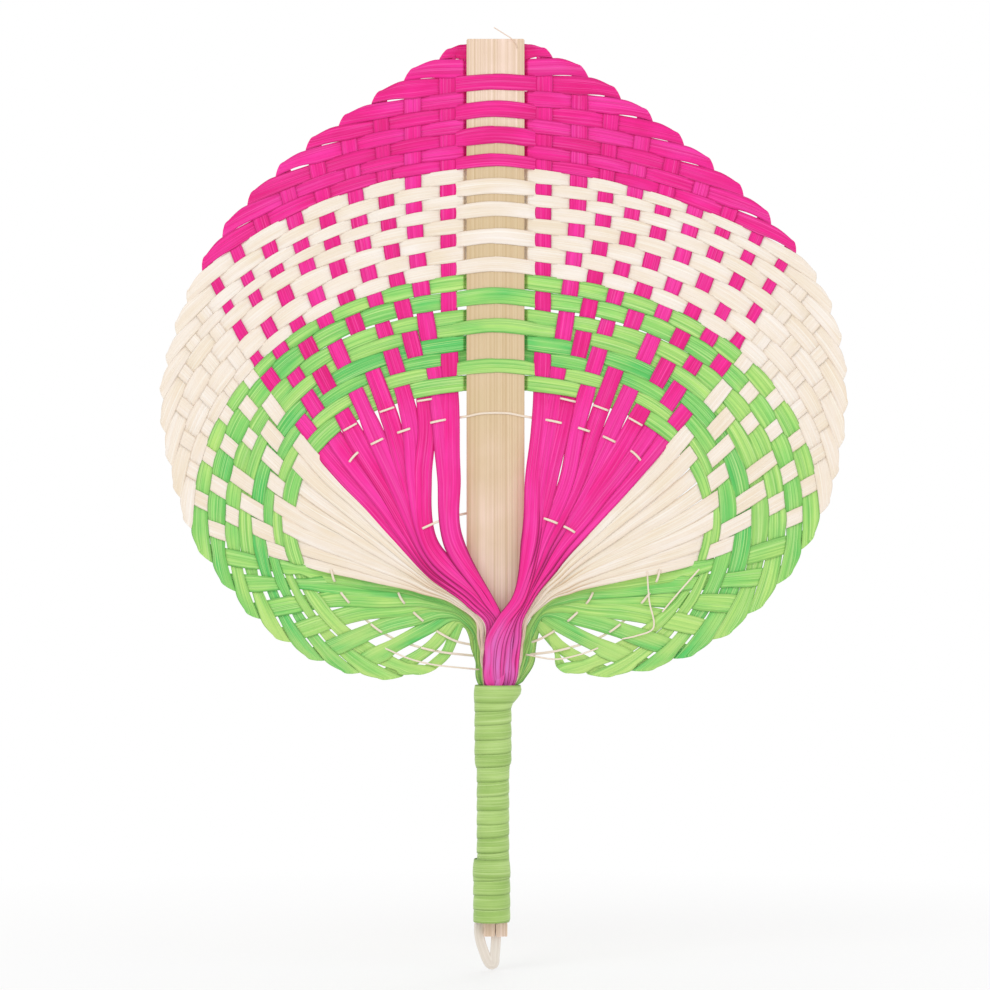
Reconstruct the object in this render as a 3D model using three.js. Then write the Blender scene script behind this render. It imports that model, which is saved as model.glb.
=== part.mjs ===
import * as THREE from 'three';

// Woven bamboo hand fan. Sizes in millimetres, angles in radians.
// Z points up along the handle and the front of the blade faces -Y.
// The origin is the middle of the grip.
// Points of the blade are [outward from the slat's centre line as a share of the blade's
// half width, height above the grip as a share of the blade's height].

// Splint strips
const STRIP_THICKNESS = 0.2;
const WEAVE_DEPTH = 1.1;
const WEAVE_FILL = 0.88;
const FOLD_ENTRY_ANGLE = 0.42;
const TWILL_FIRST_ROW = 21;
const LAST_ROW_FLOAT = 3;
const FULL_ROWS_START = 17;
const FULL_ROW_LEAVE = 0.65;
const FULL_ROW_ARRIVE = -0.12;
const RIB_BOW = 4;
const STRIP_WIDTH = 5.8;
const GREEN_STRIP_WIDTH = 7;
const PINK_ROW_PITCH = 5.41;
const NATURAL_ROW_PITCH = 5.28;
const GREEN_ROW_PITCH = 6.69;
const SPACE_ABOVE_BAND = 4.8;
const SPACE_ABOVE_GREEN = 7.6;

// Spine slat and its tang
const SLAT_WIDTH = 23;
const SLAT_THICKNESS = 2.4;
const SLAT_TOP = 303.6;
const BLADE_HALF_WIDTH = 140;
const SHOULDER_TOP = 88;
const SHOULDER_BOTTOM = 74;
const TANG_WIDTH = 9.5;
const TANG_END = -53;
const SLAT_CORNER = 1.2;
const SPLIT_WIDTH = 0.5;
const SPLIT_LENGTH = 7;

// Handle
const GRIP_TOP = 47;
const GRIP_BOTTOM = -47;
const COLLAR_HALF_WIDTH = 8.2;
const COLLAR_LENGTH = 12;
const GRIP_HALF_WIDTH = 5.4;
const TAIL_PITCH = 0.28;
const TAIL_END = -30;
const TAIL_RISE = 3;
const CLEARANCE = 0.3;
const WRAP_PITCH = 5.6;
const WRAP_WIDTH = 7;
const WRAP_THICKNESS = 0.25;
const WRAP_SIDES = 9;
const BINDING_TOP = -22;

// Hanging loop
const LOOP_THICKNESS = 1;
const LOOP_LEG_WIDTH = 3.2;
const LOOP_SLIT = 0.4;
const LOOP_OFFSET = -0.8;
const LOOP_DROP = 19.4;
const LOOP_BULGE = 5;
const LOOP_EYE_WIDTH = 1.6;
const LOOP_EYE_DEPTH = 11;

// Twining threads
const THREAD_SIZE = 0.5;

// Bands of strips from the top of the blade down
const BANDS = [
  {
    name: 'pink',
    colour: 0xf0248f,
    count: 9,
    width: STRIP_WIDTH,
    spaceAbove: SPACE_ABOVE_BAND,
    pitch: PINK_ROW_PITCH,
  },
  {
    name: 'natural',
    colour: 0xf1e3cd,
    count: 8,
    width: STRIP_WIDTH,
    spaceAbove: SPACE_ABOVE_BAND,
    pitch: NATURAL_ROW_PITCH,
  },
  {
    name: 'green',
    colour: 0x7fd45c,
    count: 7,
    width: GREEN_STRIP_WIDTH,
    spaceAbove: SPACE_ABOVE_GREEN,
    pitch: GREEN_ROW_PITCH,
  },
];

// Rim of each half of the blade, one stretch for each band
const RIM = {
  left: [
    [[0.084, 0.992], [0.183, 0.968], [0.379, 0.896], [0.555, 0.828], [0.742, 0.726], [0.851, 0.63]],
    [[0.924, 0.521], [0.948, 0.444], [0.929, 0.354], [0.86, 0.232]],
    [[0.754, 0.148], [0.66, 0.092], [0.49, 0.034], [0.314, 0.011], [0.179, 0.021]],
  ],
  right: [
    [[0.086, 0.991], [0.177, 0.974], [0.393, 0.9], [0.561, 0.831], [0.735, 0.748], [0.878, 0.658]],
    [[0.957, 0.577], [0.994, 0.458], [0.961, 0.316], [0.921, 0.257]],
    [[0.833, 0.173], [0.679, 0.089], [0.512, 0.038], [0.316, 0.015], [0.179, 0.023]],
  ],
};

// Where the ribs leave the weave, draw together and enter the handle.
// Each line is given for the outermost strip of a band and the last strip.
const WEAVE_EDGE = [[0.129, 0.425], [0.514, 0.348], [0.55, 0.178], [0.143, 0.047]];
const GATHER = [[0.107, 0.226], [0.2, 0.183], [0.193, 0.144], [0.121, 0.07]];
const THROAT = [[0.021, 0.117], [0.043, 0.105], [0.057, 0.086], [0.061, 0.051]];

// Courses of the twining threads from the slat out and round towards the throat
const THREADS = [
  {
    name: 'outer',
    slatSide: -1,
    points: [
      [0, 0.421], [0.164, 0.408], [0.329, 0.378], [0.406, 0.351],
      [0.466, 0.268], [0.461, 0.167], [0.41, 0.1235], [0.311, 0.077],
    ],
  },
  {
    name: 'inner',
    slatSide: 1,
    points: [
      [0, 0.277], [0.104, 0.269], [0.214, 0.253], [0.307, 0.218],
      [0.336, 0.175], [0.3, 0.129], [0.22, 0.09],
    ],
  },
];

const HALF_SLAT = SLAT_WIDTH / 2;
const BLADE_HEIGHT = SLAT_TOP - GRIP_TOP;
const STRIP_COUNT = BANDS.reduce((sum, band) => sum + band.count, 0);
const SLAT_GAP = 2 * CLEARANCE;
const WRAP_LAP = (1.5 * WRAP_THICKNESS * WRAP_WIDTH) / WRAP_PITCH;
const SLAT_PASS = SLAT_THICKNESS / 2 + STRIP_THICKNESS / 2 + CLEARANCE;

// A path in the half plane, kept as a run of short straight pieces.
class Course {
  constructor(points) {
    this.points = points;
    this.marks = [0];
    for (let i = 1; i < points.length; i += 1) {
      this.marks.push(this.marks[i - 1] + points[i].distanceTo(points[i - 1]));
    }
  }

  get length() {
    return this.marks[this.marks.length - 1];
  }

  // Point and heading at a distance along the path.
  at(distance) {
    let i = 1;
    while (i < this.points.length - 1 && this.marks[i] < distance) i += 1;
    const step = this.marks[i] - this.marks[i - 1];
    const share = (distance - this.marks[i - 1]) / step;
    return {
      point: this.points[i - 1].clone().lerp(this.points[i], share),
      heading: this.points[i].clone().sub(this.points[i - 1]).normalize(),
    };
  }

  // Distances along both paths where this path crosses another.
  crossing(other) {
    for (let i = 1; i < this.points.length; i += 1) {
      const a = this.points[i - 1];
      const d = this.points[i].clone().sub(a);
      for (let j = 1; j < other.points.length; j += 1) {
        const b = other.points[j - 1];
        const e = other.points[j].clone().sub(b);
        const across = d.cross(e);
        const between = b.clone().sub(a);
        const s = between.cross(e) / across;
        const r = between.cross(d) / across;
        if (s >= 0 && s < 1 && r >= 0 && r < 1) {
          return {
            mine: this.marks[i - 1] + s * d.length(),
            theirs: other.marks[j - 1] + r * e.length(),
            point: a.clone().addScaledVector(d, s),
            myHeading: d.normalize(),
            theirHeading: e.normalize(),
            sine: Math.abs(d.cross(e)),
          };
        }
      }
    }
    return null;
  }

  // Shortest distance from a point to this path.
  distanceTo(point) {
    return Math.min(...this.points.map((p) => p.distanceTo(point)));
  }
}

// Point of the half plane from its shares of the blade's half width and height.
function bladePoint([outward, up]) {
  return new THREE.Vector2(outward * BLADE_HALF_WIDTH, GRIP_TOP + up * BLADE_HEIGHT);
}

function smoothCourse(points, steps) {
  const knots = points.map((p) => new THREE.Vector3(p.x, p.y, 0));
  const curve = new THREE.CatmullRomCurve3(knots, false, 'centripetal');
  return new Course(curve.getPoints(steps).map((p) => new THREE.Vector2(p.x, p.y)));
}

// Number of the band that a strip belongs to, its place in that band, and its row height.
function stripPlace(strip) {
  let height = SLAT_TOP;
  let first = 0;
  for (let band = 0; band < BANDS.length; band += 1) {
    const { count, spaceAbove, pitch } = BANDS[band];
    height -= spaceAbove;
    const place = strip - first;
    if (place < count) return { band, place, row: height - place * pitch };
    height -= (count - 1) * pitch;
    first += count;
  }
  return null;
}

// Point of a gathering line for one strip.
function gatherPoint(line, strip) {
  const { band, place } = stripPlace(strip);
  const span = band === BANDS.length - 1 ? BANDS[band].count - 1 : BANDS[band].count;
  const curve = new THREE.SplineCurve(line.map(bladePoint));
  return curve.getPoint((band + place / span) / BANDS.length);
}

// Fold points of one half of the blade, evenly spaced along each band of the rim.
function foldPoints(rim) {
  const folds = [];
  const steps = 40;
  const knots = rim.flat();
  const course = smoothCourse(knots.map(bladePoint), steps * (knots.length - 1));
  let start = 0;
  let used = -1;
  BANDS.forEach((band, index) => {
    used += rim[index].length;
    const end = course.marks[used * steps];
    for (let i = 0; i < band.count; i += 1) {
      folds.push(course.at(start + ((end - start) * (i + 0.5)) / band.count));
    }
    start = end;
  });
  return folds;
}

// Row from the slat's centre line out to its fold.
// Towards the throat the rows run out further before they turn down.
function rowCourse(strip, fold) {
  const { row } = stripPlace(strip);
  const start = new THREE.Vector2(0, row);
  const full = Math.sqrt(Math.max(0, strip + 1 - FULL_ROWS_START) / (STRIP_COUNT - FULL_ROWS_START));
  const arrive = fold.heading.clone().rotateAround(new THREE.Vector2(), FOLD_ENTRY_ANGLE);
  const turn = Math.abs(Math.atan2(arrive.y, arrive.x));
  const sweep = arrive.y > 0 ? 2 * Math.PI - turn : turn;
  const reach = start.distanceTo(fold.point) / (3 * Math.cos(sweep / 4) ** 2);
  const curve = new THREE.CubicBezierCurve(
    start,
    new THREE.Vector2(reach * (1 + FULL_ROW_LEAVE * full), row),
    fold.point.clone().addScaledVector(arrive, -reach * (1 + FULL_ROW_ARRIVE * full)),
    fold.point,
  );
  return new Course(curve.getSpacedPoints(60));
}

// Half-width of the bundle of tails and tang at a height.
function bundleHalfWidth(z) {
  const share = THREE.MathUtils.smoothstep(z, GRIP_TOP - COLLAR_LENGTH, GRIP_TOP);
  return GRIP_HALF_WIDTH + (COLLAR_HALF_WIDTH - GRIP_HALF_WIDTH) * share;
}

// Depth of a strip's tail: the first two bands lie before the tang, the last behind it.
function tailDepth(strip) {
  const behind = STRIP_COUNT - BANDS[BANDS.length - 1].count;
  const skip = SLAT_THICKNESS / 2 + CLEARANCE;
  if (strip < behind) return -skip - (behind - 1 - strip + 0.5) * TAIL_PITCH;
  return skip + (strip - behind + 0.5) * TAIL_PITCH;
}

const BUNDLE_FRONT = tailDepth(0) - STRIP_THICKNESS / 2;
const BUNDLE_BACK = tailDepth(STRIP_COUNT - 1) + STRIP_THICKNESS / 2;
const BUNDLE_DEPTH = (BUNDLE_FRONT + BUNDLE_BACK) / 2;
const BUNDLE_HALF_DEPTH = (BUNDLE_BACK - BUNDLE_FRONT) / 2 + 3 * CLEARANCE;

// Width of a tail that fits the round of the bundle at a height.
function tailWidth(strip, z) {
  const level = (tailDepth(strip) - BUNDLE_DEPTH) / BUNDLE_HALF_DEPTH;
  return bundleHalfWidth(z) * Math.sqrt(1 - level * level) - CLEARANCE;
}

// Rib from its fold down to the handle. The first band's ribs bow outward in the weave.
function ribCourse(strip, fold) {
  const collar = new THREE.Vector2(tailWidth(strip, GRIP_TOP) / 2 + CLEARANCE / 2, GRIP_TOP + TAIL_RISE);
  const stations = [WEAVE_EDGE, GATHER, THROAT].map((line) => gatherPoint(line, strip));
  if (stripPlace(strip).band === 0) {
    const bow = new THREE.Vector2(strip ? RIB_BOW : 0, 0);
    stations.unshift(fold.point.clone().lerp(stations[0], 0.5).add(bow));
  }
  return smoothCourse([fold.point, ...stations, collar], 90);
}

// True where a rib passes in front of a row: plain weave, then a two and two twill.
// The last row floats over the first ribs beside the slat.
function ribInFront(rib, row) {
  const step = row - rib;
  if (row + 1 === STRIP_COUNT && rib <= LAST_ROW_FLOAT) return rib === LAST_ROW_FLOAT;
  return row + 1 < TWILL_FIRST_ROW ? step % 2 === 0 : step % 4 === 2 || step % 4 === 3;
}

// True where a row passes in front of the slat.
function rowInFrontOfSlat(row) {
  return row > 1 && row % 2 === 0;
}

// Courses and crossings of one half of the blade.
function layOutHalf(rim) {
  const folds = foldPoints(rim);
  const rows = folds.map((fold, strip) => rowCourse(strip, fold));
  const ribs = folds.map((fold, strip) => ribCourse(strip, fold));
  const crossings = ribs.map((rib, i) => rows.map((row, j) => (j > i ? rib.crossing(row) : null)));
  const threads = THREADS.map((thread) => smoothCourse(thread.points.map(bladePoint), 120));
  const ties = threads.map((thread) => ribs.map((rib) => rib.crossing(thread)));
  return { folds, rows, ribs, crossings, threads, ties };
}

// Width that a strip may take in the space between its neighbours.
function fittedWidth(strip, space) {
  return Math.min(BANDS[stripPlace(strip).band].width, WEAVE_FILL * space);
}

// Width of a row where it crosses a rib, held by the rows on either side,
// or by the rib's own row where the rib has just left its fold.
function rowWidth(half, rib, row) {
  const here = half.crossings[rib][row];
  const before = half.crossings[rib][row - 1]?.mine ?? 0;
  const after = half.crossings[rib][row + 1]?.mine ?? Infinity;
  const spaces = [here.mine - before, after - here.mine];
  return fittedWidth(row, Math.min(...spaces) * here.sine);
}

// Width of a rib where it crosses a row, held by the ribs on either side.
// A row climbs further from the slat to the first rib than from rib to rib.
function ribWidth(half, rib, row) {
  const here = half.crossings[rib][row];
  const near = [half.crossings[rib - 1]?.[row], half.crossings[rib + 1]?.[row]].filter(Boolean);
  const spaces = near.map((c) => Math.abs(c.theirs - here.theirs));
  if (rib === 0) {
    const climb = (2 * WEAVE_DEPTH) / (WEAVE_DEPTH + SLAT_PASS);
    spaces.push((here.theirs - HALF_SLAT - SLAT_GAP) * climb);
  }
  return fittedWidth(rib, Math.min(...spaces) * here.sine);
}

// Four corners across a strip. The first edge is the upper one on a row and the one facing
// the slat on a rib. The outer face is the front of a row and the back of a rib.
function crossSection(point, side, width, depth, outward, thickness = STRIP_THICKNESS) {
  const first = point.clone().addScaledVector(side, width / 2);
  const second = point.clone().addScaledVector(side, -width / 2);
  const outer = depth + (outward * thickness) / 2;
  const inner = depth - (outward * thickness) / 2;
  return [[first, outer], [second, outer], [second, inner], [first, inner]];
}

function rowSection({ point, heading }, width, depth) {
  return crossSection(point, new THREE.Vector2(-heading.y, heading.x), width, depth, -1);
}

function ribSection({ point, heading }, width, depth) {
  return crossSection(point, new THREE.Vector2(heading.y, -heading.x), width, depth, 1);
}

// Fold at the rim: the strip turns over its crease from the front to the back.
function foldSections(row, rib, width) {
  const arrive = row.at(row.length).heading;
  const leave = rib.at(0).heading;
  const crease = arrive.clone().add(leave).normalize();
  const reach = width / 2 / Math.abs(crease.cross(arrive));
  const outward = new THREE.Vector2(-crease.y, crease.x).multiplyScalar(STRIP_THICKNESS);
  const inner = [-reach, reach].map((r) => rib.points[0].clone().addScaledVector(crease, r));
  const outer = inner.map((p) => p.clone().add(outward));
  const half = STRIP_THICKNESS / 2;
  const section = (depth, out) => [
    [outer[0], depth + out * half],
    [outer[1], depth + out * half],
    [inner[1], depth - out * half],
    [inner[0], depth - out * half],
  ];
  return [section(-WEAVE_DEPTH, -1), section(WEAVE_DEPTH, 1)];
}

// Sections of one half of a strip, from the slat out along its row, over the fold,
// down its rib and into the handle.
function halfStripSections(half, strip) {
  const row = half.rows[strip];
  const rib = half.ribs[strip];
  const sections = [];
  const rowPitch = BANDS[stripPlace(strip).band].pitch;
  const slatDepth = rowInFrontOfSlat(strip) ? -SLAT_PASS : SLAT_PASS;
  let width = fittedWidth(strip, rowPitch);
  sections.push(rowSection(row.at(HALF_SLAT + SLAT_GAP), width, slatDepth));

  for (let i = 0; i < strip; i += 1) {
    const crossing = half.crossings[i][strip];
    width = rowWidth(half, i, strip);
    const depth = ribInFront(i, strip) ? WEAVE_DEPTH : -WEAVE_DEPTH;
    sections.push(crossSection(crossing.point, crossing.myHeading, -width / crossing.sine, depth, -1));
  }
  if (strip + 1 < STRIP_COUNT) {
    const space = half.rows[strip + 1].distanceTo(half.folds[strip].point) - CLEARANCE;
    width = Math.min(width, ribWidth(half, strip, strip + 1), fittedWidth(strip, space));
  }
  sections.push(...foldSections(row, rib, width));

  for (let j = strip + 1; j < STRIP_COUNT; j += 1) {
    const { point, theirHeading, sine } = half.crossings[strip][j];
    const across = ribWidth(half, strip, j) / sine;
    sections.push(crossSection(point, theirHeading, -across, ribDepth(strip, j), 1));
  }
  sections.push(...throatSections(half, strip));
  return sections;
}

// Depth of a rib where it crosses a row.
function ribDepth(rib, row) {
  return ribInFront(rib, row) ? -WEAVE_DEPTH : WEAVE_DEPTH;
}

// Places where a rib passes the twining threads and where it joins the gathered ribs.
// From the weave to the gathering the ribs keep clear of each other while each
// moves to its own depth in the bundle.
function approachStops(half, strip) {
  const rib = half.ribs[strip];
  const last = STRIP_COUNT - 1;
  const start = strip < last ? half.crossings[strip][last].mine : 0;
  const startDepth = strip < last ? ribDepth(strip, last) : WEAVE_DEPTH;
  const gathered = nearestMark(rib, gatherPoint(GATHER, strip));
  const neighbours = [half.ribs[strip - 1], half.ribs[strip + 1]].filter(Boolean);
  const ties = half.ties.map((line) => line[strip]?.mine ?? null);
  return [...ties, gathered].map((mark) => {
    if (mark === null) return null;
    const place = rib.at(mark);
    const space = Math.min(...neighbours.map((n) => n.distanceTo(place.point)));
    const open = mark === gathered ? space : space - 2.5 * THREAD_SIZE;
    const share = (mark - start) / (gathered - start);
    return {
      mark,
      place,
      width: Math.min(fittedWidth(strip, space), Math.max(open, THREAD_SIZE)),
      depth: startDepth + (tailDepth(strip) - startDepth) * share,
    };
  });
}

// Sections of a rib from the weave to the end of its tail.
function throatSections(half, strip) {
  const rib = half.ribs[strip];
  const stops = approachStops(half, strip).filter(Boolean);
  const sections = stops.map(({ place, width, depth }) => ribSection(place, width, depth));
  const { mark, width: narrow, depth: layer } = stops[stops.length - 1];
  const bend = 2;
  for (let i = 1; i <= bend; i += 1) {
    const place = rib.at(mark + ((rib.length - mark) * i) / bend);
    const width = narrow + ((tailWidth(strip, GRIP_TOP) - narrow) * i) / bend;
    if (i === bend) place.heading.set(0, -1);
    sections.push(ribSection(place, width, layer));
  }
  [GRIP_TOP - COLLAR_LENGTH, TAIL_END].forEach((z) => {
    const width = tailWidth(strip, z);
    const point = new THREE.Vector2((width + CLEARANCE) / 2, z);
    sections.push(ribSection({ point, heading: new THREE.Vector2(0, -1) }, width, layer));
  });
  return sections;
}

// Sections of one half of a twining thread: past the slat, then before and behind
// the ribs by turns, ending beside the bundle.
function halfThreadSections(half, index) {
  const course = half.threads[index];
  const sections = [];
  const add = (distance, depth) => {
    const { point, heading } = course.at(distance);
    const side = new THREE.Vector2(-heading.y, heading.x).multiplyScalar(THREAD_SIZE / 2);
    const edges = [point.clone().add(side), point.clone().sub(side)];
    const back = depth + THREAD_SIZE / 2;
    sections.push([[point, depth - THREAD_SIZE / 2], [edges[1], back], [edges[0], back]]);
  };
  const slatDepth = THREADS[index].slatSide * (SLAT_THICKNESS / 2 + THREAD_SIZE / 2 + CLEARANCE);
  add(HALF_SLAT + SLAT_GAP, slatDepth);
  const pass = (STRIP_THICKNESS + THREAD_SIZE + CLEARANCE) / 2;
  half.ties[index].forEach((tie, strip) => {
    if (tie === null) return;
    const stop = approachStops(half, strip)[index];
    const depth = stop.depth + (strip % 2 === 0 ? pass : -pass);
    const reach = (stop.width / 2 + THREAD_SIZE) / tie.sine;
    add(tie.theirs - reach, depth);
    add(tie.theirs + reach, depth);
  });
  return sections;
}

function threadSolid(halves, index) {
  const left = halfThreadSections(halves.left, index).map((section) => placeSection(section, -1));
  const right = halfThreadSections(halves.right, index).map((section) => placeSection(section, 1));
  return bandSolid([...left.reverse(), ...right]);
}

function nearestMark(course, point) {
  let best = 0;
  course.points.forEach((p, i) => {
    if (p.distanceTo(point) < course.points[best].distanceTo(point)) best = i;
  });
  return course.marks[best];
}

// Closed solid through a run of sections that all have the same number of corners.
function bandSolid(sections) {
  const positions = sections.flat().flatMap((corner) => corner.toArray());
  const corners = sections[0].length;
  const last = corners * (sections.length - 1);
  const faces = [];
  for (let i = 0; i < last; i += corners) {
    for (let k = 0; k < corners; k += 1) {
      const a = i + k;
      const b = i + ((k + 1) % corners);
      faces.push(a, b, b + corners, a, b + corners, a + corners);
    }
  }
  for (let k = 1; k < corners - 1; k += 1) {
    faces.push(0, k + 1, k, last, last + k, last + k + 1);
  }
  const solid = new THREE.BufferGeometry();
  solid.setAttribute('position', new THREE.Float32BufferAttribute(positions, 3));
  solid.setIndex(signedVolume(positions, faces) < 0 ? faces.reverse() : faces);
  solid.computeVertexNormals();
  return solid;
}

function signedVolume(positions, faces) {
  const corner = (i) => new THREE.Vector3().fromArray(positions, 3 * faces[i]);
  let sum = 0;
  for (let i = 0; i < faces.length; i += 3) {
    sum += corner(i).dot(corner(i + 1).cross(corner(i + 2)));
  }
  return sum / 6;
}

function placeSection(section, mirror) {
  return section.map(([point, depth]) => new THREE.Vector3(mirror * point.x, depth, point.y));
}

function stripSolid(halves, strip) {
  const left = halfStripSections(halves.left, strip).map((section) => placeSection(section, -1));
  const right = halfStripSections(halves.right, strip).map((section) => placeSection(section, 1));
  const depth = rowInFrontOfSlat(strip) ? -SLAT_PASS : SLAT_PASS;
  const middle = { point: new THREE.Vector2(0, stripPlace(strip).row), heading: new THREE.Vector2(1, 0) };
  const width = fittedWidth(strip, BANDS[stripPlace(strip).band].pitch);
  const centre = placeSection(rowSection(middle, width, depth), 1);
  return bandSolid([...left.reverse(), centre, ...right]);
}

// Flat slat with shoulders and a tang whose end is split.
function slatSolid() {
  const half = SLAT_WIDTH / 2;
  const tang = TANG_WIDTH / 2;
  const split = SPLIT_WIDTH / 2;
  const outline = new THREE.Shape();
  outline.moveTo(-split, TANG_END);
  outline.lineTo(0, TANG_END + SPLIT_LENGTH);
  outline.lineTo(split, TANG_END);
  outline.lineTo(tang, TANG_END);
  outline.lineTo(tang, SHOULDER_BOTTOM);
  outline.lineTo(half, SHOULDER_TOP);
  outline.lineTo(half, SLAT_TOP - SLAT_CORNER);
  outline.lineTo(half - SLAT_CORNER, SLAT_TOP);
  outline.lineTo(-half + SLAT_CORNER, SLAT_TOP);
  outline.lineTo(-half, SLAT_TOP - SLAT_CORNER);
  outline.lineTo(-half, SHOULDER_TOP);
  outline.lineTo(-tang, SHOULDER_BOTTOM);
  outline.lineTo(-tang, TANG_END);
  const solid = new THREE.ExtrudeGeometry(outline, { depth: SLAT_THICKNESS, bevelEnabled: false });
  solid.translate(0, 0, -SLAT_THICKNESS / 2);
  solid.rotateX(Math.PI / 2);
  return solid;
}

// Flat cane loop behind the tang, its two legs side by side inside the binding.
function loopSolid() {
  const top = TAIL_END - CLEARANCE;
  const bottom = GRIP_BOTTOM - LOOP_DROP;
  const innerLeft = LOOP_OFFSET - LOOP_SLIT / 2;
  const innerRight = LOOP_OFFSET + LOOP_SLIT / 2;
  const left = innerLeft - LOOP_LEG_WIDTH;
  const right = innerRight + LOOP_LEG_WIDTH;
  const tip = innerLeft - LOOP_BULGE / 5;
  const bend = LOOP_DROP / 5;
  const eye = tip - LOOP_EYE_WIDTH / 2;
  const eyeTop = GRIP_BOTTOM - (2 / 3) * LOOP_EYE_DEPTH;
  const outline = new THREE.Shape();
  outline.moveTo(left, top);
  outline.lineTo(left, GRIP_BOTTOM);
  outline.bezierCurveTo(left - LOOP_BULGE, GRIP_BOTTOM - bend, left - LOOP_BULGE, bottom + bend, tip, bottom);
  outline.bezierCurveTo(right - LOOP_EYE_WIDTH, bottom, right, bottom + 2 * bend, right, GRIP_BOTTOM);
  outline.lineTo(right, top);
  outline.lineTo(innerRight, top);
  outline.lineTo(innerRight, GRIP_BOTTOM);
  outline.lineTo(eye + LOOP_EYE_WIDTH / 2, eyeTop);
  outline.quadraticCurveTo(eye, GRIP_BOTTOM - LOOP_EYE_DEPTH, eye - LOOP_EYE_WIDTH / 2, eyeTop);
  outline.lineTo(innerLeft, GRIP_BOTTOM);
  outline.lineTo(innerLeft, top);
  const solid = new THREE.ExtrudeGeometry(outline, {
    depth: LOOP_THICKNESS,
    bevelEnabled: false,
    curveSegments: 8,
  });
  solid.rotateX(Math.PI / 2);
  solid.translate(0, SLAT_THICKNESS / 2 + CLEARANCE + LOOP_THICKNESS, 0);
  return solid;
}

// Splint wound up the handle, each turn lapping over the one below it.
function windingSolid(bottom, top, clear) {
  const turns = (top - bottom - WRAP_WIDTH) / WRAP_PITCH;
  const count = Math.round(turns * WRAP_SIDES);
  const facet = 1 / Math.cos(Math.PI / WRAP_SIDES);
  const sections = [];
  for (let i = 0; i <= count; i += 1) {
    const angle = (2 * Math.PI * i) / WRAP_SIDES;
    const base = bottom + (i / WRAP_SIDES) * WRAP_PITCH;
    const corner = (z, lift) => {
      const across = bundleHalfWidth(z) * facet + clear + lift;
      const along = BUNDLE_HALF_DEPTH * facet + clear + lift;
      return new THREE.Vector3(across * Math.sin(angle), BUNDLE_DEPTH - along * Math.cos(angle), z);
    };
    sections.push([
      corner(base, WRAP_LAP + WRAP_THICKNESS),
      corner(base, WRAP_LAP),
      corner(base + WRAP_WIDTH, 0),
      corner(base + WRAP_WIDTH, WRAP_THICKNESS),
    ]);
  }
  return bandSolid(sections);
}

function mesh(name, geometry, colour, roughness) {
  const material = new THREE.MeshStandardMaterial({ color: colour, roughness, metalness: 0 });
  const piece = new THREE.Mesh(geometry, material);
  piece.name = name;
  return piece;
}

function buildFan() {
  const fan = new THREE.Group();
  fan.name = 'woven_hand_fan';
  fan.add(mesh('spine_slat', slatSolid(), 0xe2c8a2, 0.6));
  const halves = { left: layOutHalf(RIM.left), right: layOutHalf(RIM.right) };
  for (let strip = 0; strip < STRIP_COUNT; strip += 1) {
    const { band, place } = stripPlace(strip);
    const { name, colour } = BANDS[band];
    fan.add(mesh(`strip_${name}_${place + 1}`, stripSolid(halves, strip), colour, 0.5));
  }
  THREADS.forEach((thread, index) => {
    fan.add(mesh(`twining_thread_${thread.name}`, threadSolid(halves, index), 0xf3e6d6, 0.6));
  });
  const overWrap = CLEARANCE + WRAP_LAP + WRAP_THICKNESS + CLEARANCE / 2;
  fan.add(mesh('handle_wrap', windingSolid(GRIP_BOTTOM, GRIP_TOP, CLEARANCE), 0xa0cd64, 0.55));
  fan.add(mesh('end_binding', windingSolid(GRIP_BOTTOM, BINDING_TOP, overWrap), 0x9bc862, 0.55));
  fan.add(mesh('hanging_loop', loopSolid(), 0xeedfcf, 0.6));
  return fan;
}

export default buildFan();
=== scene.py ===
"""Looks of a woven bamboo hand fan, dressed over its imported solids.

Sizes are in millimetres and angles in radians, and every mesh is made in metres.
Z points up along the handle, the front of the blade faces -Y and the origin is the middle of the grip.
Each half of the blade is laid out in a half plane: outward from the slat's centre line, then height.
"""
from __future__ import annotations

import logging
import math
from dataclasses import dataclass, field, replace
from enum import Enum
from functools import cache
from typing import Iterable, Sequence

import bmesh
import bpy
import numpy as np
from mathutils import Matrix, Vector


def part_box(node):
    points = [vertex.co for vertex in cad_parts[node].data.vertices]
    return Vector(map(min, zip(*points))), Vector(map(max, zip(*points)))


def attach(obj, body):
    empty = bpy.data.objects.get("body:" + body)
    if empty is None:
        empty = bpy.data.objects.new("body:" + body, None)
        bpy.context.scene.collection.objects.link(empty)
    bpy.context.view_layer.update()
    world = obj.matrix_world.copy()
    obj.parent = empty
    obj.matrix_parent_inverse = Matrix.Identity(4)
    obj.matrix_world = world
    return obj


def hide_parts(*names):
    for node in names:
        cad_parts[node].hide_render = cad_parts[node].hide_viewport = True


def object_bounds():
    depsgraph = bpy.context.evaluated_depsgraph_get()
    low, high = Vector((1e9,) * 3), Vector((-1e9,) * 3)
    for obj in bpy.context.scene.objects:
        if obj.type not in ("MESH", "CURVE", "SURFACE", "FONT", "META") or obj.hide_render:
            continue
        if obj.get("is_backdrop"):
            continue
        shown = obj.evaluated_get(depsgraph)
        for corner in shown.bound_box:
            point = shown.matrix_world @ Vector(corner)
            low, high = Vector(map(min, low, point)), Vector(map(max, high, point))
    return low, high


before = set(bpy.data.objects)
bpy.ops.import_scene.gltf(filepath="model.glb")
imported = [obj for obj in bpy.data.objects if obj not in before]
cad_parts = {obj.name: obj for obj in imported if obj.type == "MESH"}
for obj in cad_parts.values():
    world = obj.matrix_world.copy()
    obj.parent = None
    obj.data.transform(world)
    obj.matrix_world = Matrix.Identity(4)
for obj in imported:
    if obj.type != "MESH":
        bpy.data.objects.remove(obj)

LOG = logging.getLogger("woven_fan")
MM = 0.001
BODY = "root"

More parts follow.
